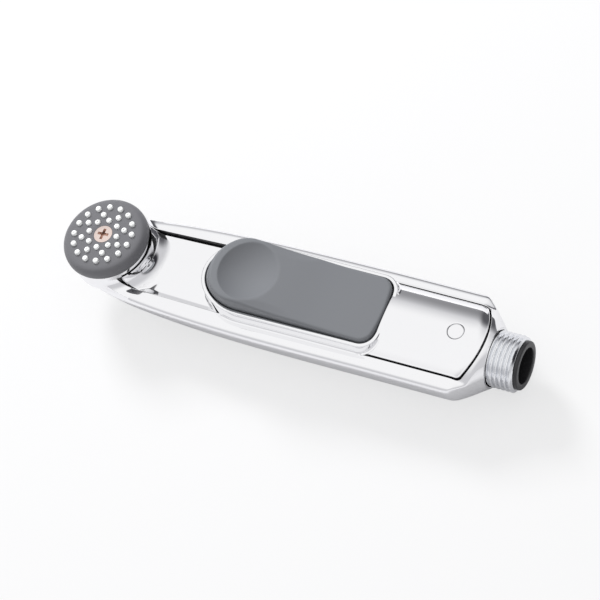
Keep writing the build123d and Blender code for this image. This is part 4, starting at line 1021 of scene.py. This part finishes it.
# %% Height of the lever's top
LEVER_TOP_REAR, LEVER_TOP_FRONT, LEVER_SKIRT = 28.0, 33.1, 23.0
CREST = LEVER_FRONT + 18.5
rise = LEVER_TOP_FRONT - LEVER_TOP_REAR
run = LEVER_REAR + GAP - CREST
TOP_X = (LEVER_FRONT - GAP, CREST, CREST + 0.25 * run, CREST + 0.54 * run, LEVER_REAR + GAP)
TOP_Z = (LEVER_TOP_FRONT, LEVER_TOP_REAR + 0.93 * rise, LEVER_TOP_REAR + 0.63 * rise,
         LEVER_TOP_REAR + 0.25 * rise, LEVER_TOP_REAR)
SIDE_X, SIDE_Y, SIDE_Z, SIDE_RADIUS = LEVER_FRONT + 42.7, 40.0, 136.5, 110.0
HOLLOWS = ((LEVER_FRONT + 18.4, 0.0, 47.6, 19.0), (SIDE_X, SIDE_Y, SIDE_Z, SIDE_RADIUS),
           (SIDE_X, -SIDE_Y, SIDE_Z, SIDE_RADIUS))
SPHERE_REACH, CREASE_ROUND = 0.98, 0.07


def lever_height(x, y):
    top = smooth_curve(x, TOP_X, TOP_Z)
    parts = [top]
    for centre_x, centre_y, centre_z, radius in HOLLOWS:
        reach = np.minimum(np.hypot(x - centre_x, y - centre_y), radius * SPHERE_REACH)
        parts.append(centre_z - np.sqrt(radius * radius - reach * reach))
    return blend_low(parts, CREASE_ROUND)


print("lever is", TOP_Z[0], "mm high at its nose")

# %% [markdown]
# ## Skin of the lever
#
# Rings climb the lever's side to a rounded edge, whose height is found in a few steps
# because the outline leans with its height. From there rings run in over the top to a line
# in the middle, and each point takes its height from the rule above.

# %% Lever
NOSE_LEAN, NOSE_TIGHTER, EDGE_ROUND = 3.0, 5.0, 1.1
LEVER_WALL, LEVER_ROOF, SKIRT_ROUND = 2.0, 27.3, 0.2
SPINE_FRONT, SPINE_REAR = LEVER_FRONT + 14, LEVER_REAR - 10


def lever_ring(height, inset):
    """Outline of the lever at a height that may change round it."""
    share = np.clip((height - FRAME_TOP) / (LEVER_TOP_FRONT - FRAME_TOP), 0, 1)
    low = lever_line(-inset)
    high = lever_line(-inset, LEVER_FRONT + NOSE_LEAN, LEVER_NOSE - NOSE_TIGHTER)
    return low + (high - low) * np.reshape(share, (-1, 1))


def to_spine(line):
    """The nearest points to an outline on the line along the lever's middle."""
    return np.column_stack((np.clip(line[:, 0], SPINE_FRONT, SPINE_REAR), np.zeros(len(line))))


edge_height = np.full(len(lever_line(0)), 30.0)
for _ in range(5):
    line = lever_ring(edge_height, EDGE_ROUND)
    edge_height = lever_height(line[:, 0], line[:, 1])
inside = lever_line(-LEVER_WALL)
levels = [at_height(to_spine(inside), LEVER_ROOF), at_height(inside, LEVER_ROOF),
          at_height(inside, LEVER_SKIRT), at_height(lever_line(-0.15), LEVER_SKIRT),
          at_height(lever_line(0), LEVER_SKIRT + SKIRT_ROUND)]
for t in np.linspace(0.1, 1, 10):
    height = LEVER_SKIRT + SKIRT_ROUND + (edge_height - EDGE_ROUND - LEVER_SKIRT
                                          - SKIRT_ROUND) * t
    levels.append(at_height(lever_ring(height, 0), height))
for a in range(10, 91, 10):
    inset = EDGE_ROUND * (1 - cos(radians(a)))
    height = edge_height - EDGE_ROUND * (1 - sin(radians(a)))
    levels.append(at_height(lever_ring(edge_height, inset), height))
start = levels[-1][:, :2]
for t in np.linspace(0, 1, 70)[1:]:
    flat = start + (to_spine(start) - start) * t
    levels.append(at_height(flat, lever_height(flat[:, 0], flat[:, 1])))
piece("thumb_lever_top", *rings(levels), LEVER_GREY, body="lever",
      stands_for=("thumb_lever",), sharp=50)

# %% [markdown]
# ## The spray face
#
# The face is a thick disc of grained plastic with a rounded edge. It has a hole for each
# nozzle and a countersunk one for the screw. Holes can be drilled with a boolean where the
# face is flat, because matt plastic hides the long faces that a boolean leaves.

# %% Helpers for drilling
def drilled(target, drills):
    """Cuts one object out of another and removes the cutter."""
    cut = target.modifiers.new("drill", "BOOLEAN")
    cut.object, cut.operation, cut.solver = drills, "DIFFERENCE", "EXACT"
    graph = bpy.context.evaluated_depsgraph_get()
    mesh = bpy.data.meshes.new_from_object(target.evaluated_get(graph))
    target.modifiers.clear()
    target.data = mesh
    bpy.data.objects.remove(drills)


def tool(name, parts):
    """A cutter from points and faces in millimetres, which isn't part of the shower."""
    points, faces = joined(parts)
    mesh = bpy.data.meshes.new(name)
    mesh.from_pydata([tuple(c * MM for c in p) for p in points], [], faces)
    work = bmesh.new()
    work.from_mesh(mesh)
    bmesh.ops.remove_doubles(work, verts=work.verts, dist=WELD / 2)
    bmesh.ops.recalc_face_normals(work, faces=work.faces)
    work.to_mesh(mesh)
    work.free()
    cutter = bpy.data.objects.new(name, mesh)
    scene.collection.objects.link(cutter)
    return cutter


RINGS = ((16, 11.5, 11.0), (8, 8.3, 22.5), (8, 5.8, 0.0))
places = []
for count, ring, first in RINGS:
    for i in range(count):
        angle = radians(first + 360 * i / count)
        places.append((ring * cos(angle), ring * sin(angle)))
print("nozzles:", len(places))

# %% [markdown]
# ## The disc
#
# The profile runs from the countersink over the slightly domed top and round the edge to the
# underside, where a recess takes the nozzle pad. A spun profile keeps the edge smooth.

# %% Disc with its holes
FACE_TOP, SCREW_RADIUS, SCREW_EASE = 5.5, 3.65, 0.08
FLAT_RADIUS, DOME_DROP = 13.4, 0.35
HOLE_RADIUS, HOLE_FOOT, HOLE_TOP = 1.17, 2.0, 7.0

disc_profile = [(SCREW_RADIUS + SCREW_EASE, FACE_TOP - 0.05), (SCREW_RADIUS + 0.2, FACE_TOP)]
disc_profile += [(r, FACE_TOP - DOME_DROP * (r / FLAT_RADIUS) ** 2)
                 for r in (6.0, 8.0, 10.0, 12.0, 13.0)]
disc_profile += [(FLAT_RADIUS, 5.15), (14.0, 5.07), (14.6, 4.92), (15.1, 4.66), (15.55, 4.25),
                 (15.9, 3.75), (16.15, 3.2), (16.32, 2.6), (16.4, 2.0), (16.4, 0.9),
                 (16.25, 0.45), (15.8, 0.12), (15.2, 0.1), (13.7, 0.1), (13.7, 3.5),
                 (1.6, 3.5), (1.6, 3.6), (SCREW_RADIUS + SCREW_EASE, FACE_TOP - 0.05)]
disc = piece("spray_disc", *turned(disc_profile, HEAD, 160), FACE_GREY,
             stands_for=("spray_face",), sharp=40)
hole = [(0.0, HOLE_FOOT), (HOLE_RADIUS, HOLE_FOOT), (HOLE_RADIUS, HOLE_TOP), (0.0, HOLE_TOP)]
drilled(disc, tool("drills", [turned(hole, HEAD @ Matrix.Translation((x, y, 0)), 32)
                              for x, y in places]))
disc.data.set_sharp_from_angle(angle=radians(40))
print("holes drilled:", len(places))

# %% [markdown]
# ## Nozzles
#
# The nozzles stand on one silicone pad and poke through the disc, each a short stub with a
# round tip and a fine bore. They are turned thirty-two times into one piece, since the real
# pad is one moulding.

# %% Nozzles
nozzle = [(1.1, 2.2), (1.1, 5.45), (1.09, 5.65), (1.04, 5.88), (0.95, 6.06), (0.8, 6.2),
          (0.6, 6.28), (0.4, 6.3), (0.27, 6.28), (0.2, 6.2), (0.18, 6.0), (0.18, 4.6),
          (0.0, 4.6)]
pad = [(3.45, 2.0), (13.55, 2.0), (13.55, 3.45), (3.45, 3.45), (3.45, 2.0)]
nozzles = [turned(nozzle, HEAD @ Matrix.Translation((x, y, 0)), 28) for x, y in places]
piece("silicone_nozzles", *joined(nozzles + [turned(pad, HEAD, 64)]), SILICONE,
      stands_for=("nozzle_pad",), sharp=60)

# %% [markdown]
# ## Screw
#
# A copper coloured countersunk screw holds the disc. Its cross is cut with two wedges, which
# narrow towards their foot as the point of a driver does.

# %% Screw in the middle
screw_profile = [(0.0, -7.4), (1.45, -7.3), (1.45, 3.3), (3.4, 5.2), (3.58, 5.36),
                 (3.55, 5.47), (3.35, 5.52), (2.0, 5.56), (0.0, 5.58)]
screw = piece("cross_screw", *turned(screw_profile, HEAD, 72), COPPER,
              stands_for=("face_screw",), sharp=40)


BAR_LENGTH, BAR_WIDTH, BAR_TOP, BAR_FOOT = 2.5, 0.6, 6.0, 3.4
FOOT_LENGTH, FOOT_WIDTH = 0.45, 0.6


def wedge(angle):
    """Cutter for one bar of the cross, narrower at its foot."""
    place = HEAD @ Matrix.Rotation(radians(angle), 4, "Z")
    corners = []
    for level, long, wide in ((BAR_TOP, BAR_LENGTH, BAR_WIDTH),
                              (BAR_FOOT, BAR_LENGTH * FOOT_LENGTH, BAR_WIDTH * FOOT_WIDTH)):
        for sx, sy in ((-1, -1), (1, -1), (1, 1), (-1, 1)):
            corners.append(place @ Vector((sx * long, sy * wide, level)))
    sides = [(0, 1, 2, 3), (7, 6, 5, 4), (0, 4, 5, 1), (1, 5, 6, 2), (2, 6, 7, 3), (3, 7, 4, 0)]
    return corners, sides


for angle in (0, 90):
    drilled(screw, tool("cross", [wedge(angle)]))
screw.data.set_sharp_from_angle(angle=radians(40))
print("cross cut in the screw")

# %% [markdown]
# ## The inlet
#
# The inlet is a half-inch pipe thread. A real thread is one ridge that winds round, so the
# radius is a rule of the place along the axis and of the angle. Stacked rings would look
# alike from afar, but the ridges would not climb. A black sleeve closes its end.

# %% Thread
PITCH, CREST_RADIUS, ROOT_RADIUS = 1.814, 10.46, 9.32
THREAD_START, THREAD_END = X_FACE - 0.4, 89.5
UNDERCUT, SHANK_RADIUS = 0.45, 10.1
ROOT_SHARE, FLANK_SHARE, CREST_ROUNDING = 0.16, 0.62, 0.45
LEAD_RADIUS, BORE_RADIUS, BORE_DEPTH = 9.35, 7.6, 12
THREAD_STEP = 0.1


def thread_radius(x, angle):
    turn_share = ((x - THREAD_START) / PITCH - angle / (2 * pi)) % 1.0
    slope = 1 - np.abs(turn_share - 0.5) * 2
    ridge = np.clip((slope - ROOT_SHARE) / FLANK_SHARE, 0, 1)
    ridge = ridge * ridge * (3 - 2 * ridge) * CREST_ROUNDING + ridge * (1 - CREST_ROUNDING)
    radius = ROOT_RADIUS + (CREST_RADIUS - ROOT_RADIUS) * ridge
    lead = ROOT_RADIUS + 0.25 + THREAD_END - x
    radius = np.where(x < X_FACE + UNDERCUT, SHANK_RADIUS, radius)
    return np.minimum(radius, lead)


around = np.linspace(0, 2 * pi, 180, endpoint=False)


def inlet_ring(x, radius):
    """A ring about the inlet's axis."""
    return np.column_stack((np.full(len(around), x), radius * np.sin(around),
                            AXIS + radius * np.cos(around)))


levels = [inlet_ring(x, thread_radius(np.full(len(around), x), around))
          for x in np.arange(THREAD_START, THREAD_END + 0.001, THREAD_STEP)]
levels += [inlet_ring(THREAD_END, LEAD_RADIUS), inlet_ring(THREAD_END, BORE_RADIUS),
           inlet_ring(THREAD_END - BORE_DEPTH, BORE_RADIUS)]
piece("inlet_thread", *rings(levels), THREAD, stands_for=("inlet_nipple",), sharp=50)

# %% [markdown]
# ## The sleeve in the inlet
#
# A black sleeve lines the bore, and its lip covers the nipple's end, where the hose's washer
# seals. The lip's edges are rounded by listed points, which is enough at this size.

# %% Black sleeve
SLEEVE_OUTSIDE, SLEEVE_INSIDE, SLEEVE_START, LIP_RADIUS = 7.5, 6.75, 78.0, 9.05
sleeve = [(SLEEVE_OUTSIDE, SLEEVE_START), (SLEEVE_OUTSIDE, THREAD_END), (8.95, THREAD_END),
          (LIP_RADIUS, THREAD_END + 0.1), (LIP_RADIUS, X_END - 0.45), (8.98, X_END - 0.2),
          (8.8, X_END - 0.05), (8.55, X_END), (7.1, X_END), (6.9, X_END - 0.06),
          (6.78, X_END - 0.25), (SLEEVE_INSIDE, X_END - 0.6), (SLEEVE_INSIDE, SLEEVE_START),
          (SLEEVE_OUTSIDE, SLEEVE_START)]
piece("black_sleeve", *turned(sleeve, rear_place, 128), BLACK_PLASTIC_AND_GAP_SHADE,
      stands_for=("inlet_sleeve",), sharp=40)

# %% [markdown]
# ## Floor
#
# The floor is pale paper. To the camera it also glows a little, so that it comes out nearly
# white, yet it throws no extra light on the shower and still shows its soft shadow.

# %% Floor
FLOOR_HALF, FLOOR_GLOW = 3, 0.66
mesh = bpy.data.meshes.new("floor")
corners = [(x * FLOOR_HALF, y * FLOOR_HALF, 0) for x, y in ((-1, -1), (1, -1), (1, 1), (-1, 1))]
mesh.from_pydata(corners, [], [(0, 1, 2, 3)])
floor = bpy.data.objects.new("floor", mesh)
scene.collection.objects.link(floor)
paper = bpy.data.materials.new("floor_paper")
paper.use_nodes = True
nodes, links = paper.node_tree.nodes, paper.node_tree.links
shader = nodes["Principled BSDF"]
shader.inputs["Base Color"].default_value = (0.67, 0.67, 0.68, 1)
shader.inputs["Roughness"].default_value = 0.9
shader.inputs["Specular IOR Level"].default_value = 0.0
glow = nodes.new("ShaderNodeEmission")
path = nodes.new("ShaderNodeLightPath")
share = nodes.new("ShaderNodeMath")
share.operation = "MULTIPLY"
share.inputs[1].default_value = FLOOR_GLOW
links.new(path.outputs["Is Camera Ray"], share.inputs[0])
mix = nodes.new("ShaderNodeMixShader")
links.new(share.outputs[0], mix.inputs["Fac"])
links.new(shader.outputs[0], mix.inputs[1])
links.new(glow.outputs[0], mix.inputs[2])
links.new(mix.outputs[0], nodes["Material Output"].inputs["Surface"])
mesh.materials.append(paper)
print("floor lies at z = 0")

# %% [markdown]
# ## Room
#
# Chrome is only as good as what it mirrors. The room is pale grey, as a light tent is, and
# brighter overhead. It has a dark panel along the far side and a small one beyond the inlet,
# which give the bright plating its black accents. Panels could be real objects, but patches
# in the world cast no shadow and can't be seen by the camera.

# %% World
world = bpy.data.worlds.new("tent")
scene.world = world
world.use_nodes = True
nodes, links = world.node_tree.nodes, world.node_tree.links
background = nodes["Background"]
direction = nodes.new("ShaderNodeTexCoord")
walls = nodes.new("ShaderNodeRGB")
walls.outputs[0].default_value = (0.64, 0.64, 0.66, 1)


def with_patch(room, towards, start, end, shade):
    """The room's colour with a soft patch of another shade in one direction."""
    dot = nodes.new("ShaderNodeVectorMath")
    dot.operation = "DOT_PRODUCT"
    dot.inputs[1].default_value = Vector(towards).normalized()
    links.new(direction.outputs["Generated"], dot.inputs[0])
    soft = nodes.new("ShaderNodeMapRange")
    soft.interpolation_type = "SMOOTHSTEP"
    soft.inputs["From Min"].default_value = start
    soft.inputs["From Max"].default_value = end
    links.new(dot.outputs["Value"], soft.inputs["Value"])
    blend = nodes.new("ShaderNodeMix")
    blend.data_type = "RGBA"
    blend.inputs["B"].default_value = (*shade, 1)
    links.new(soft.outputs["Result"], blend.inputs["Factor"])
    links.new(room, blend.inputs["A"])
    return blend.outputs["Result"]


room = with_patch(walls.outputs[0], (-0.2, -0.1, 0.95), 0.35, 0.8, (1.0, 1.0, 1.005))
room = with_patch(room, (0.1, 0.98, 0.12), 0.80, 0.97, (0.10, 0.10, 0.11))
room = with_patch(room, (0.97, 0.2, 0.12), 0.86, 0.95, (0.03, 0.03, 0.035))
links.new(room, background.inputs["Color"])
background.inputs["Strength"].default_value = 1.0
print("world is a pale room, bright overhead, with two dark panels")

# %% [markdown]
# ## Lamp
#
# One soft lamp shapes the grey plastic and throws the shadow. It is hidden from reflections,
# because a bright square in the chrome would give it away.

# %% Lamp
LAMP_PLACE, LAMP_SIZE, LAMP_POWER = (-0.75, 0.65, 0.75), 0.35, 15.0
light = bpy.data.lights.new("key", "AREA")
light.shape = "RECTANGLE"
light.size, light.size_y = LAMP_SIZE, LAMP_SIZE
light.energy = LAMP_POWER
key = bpy.data.objects.new("key", light)
key.location = LAMP_PLACE
key.rotation_euler = (-Vector(LAMP_PLACE)).to_track_quat("-Z", "Y").to_euler()
scene.collection.objects.link(key)
key.visible_glossy = False
print("lamp stands", round(Vector(LAMP_PLACE).length, 2), "m away")
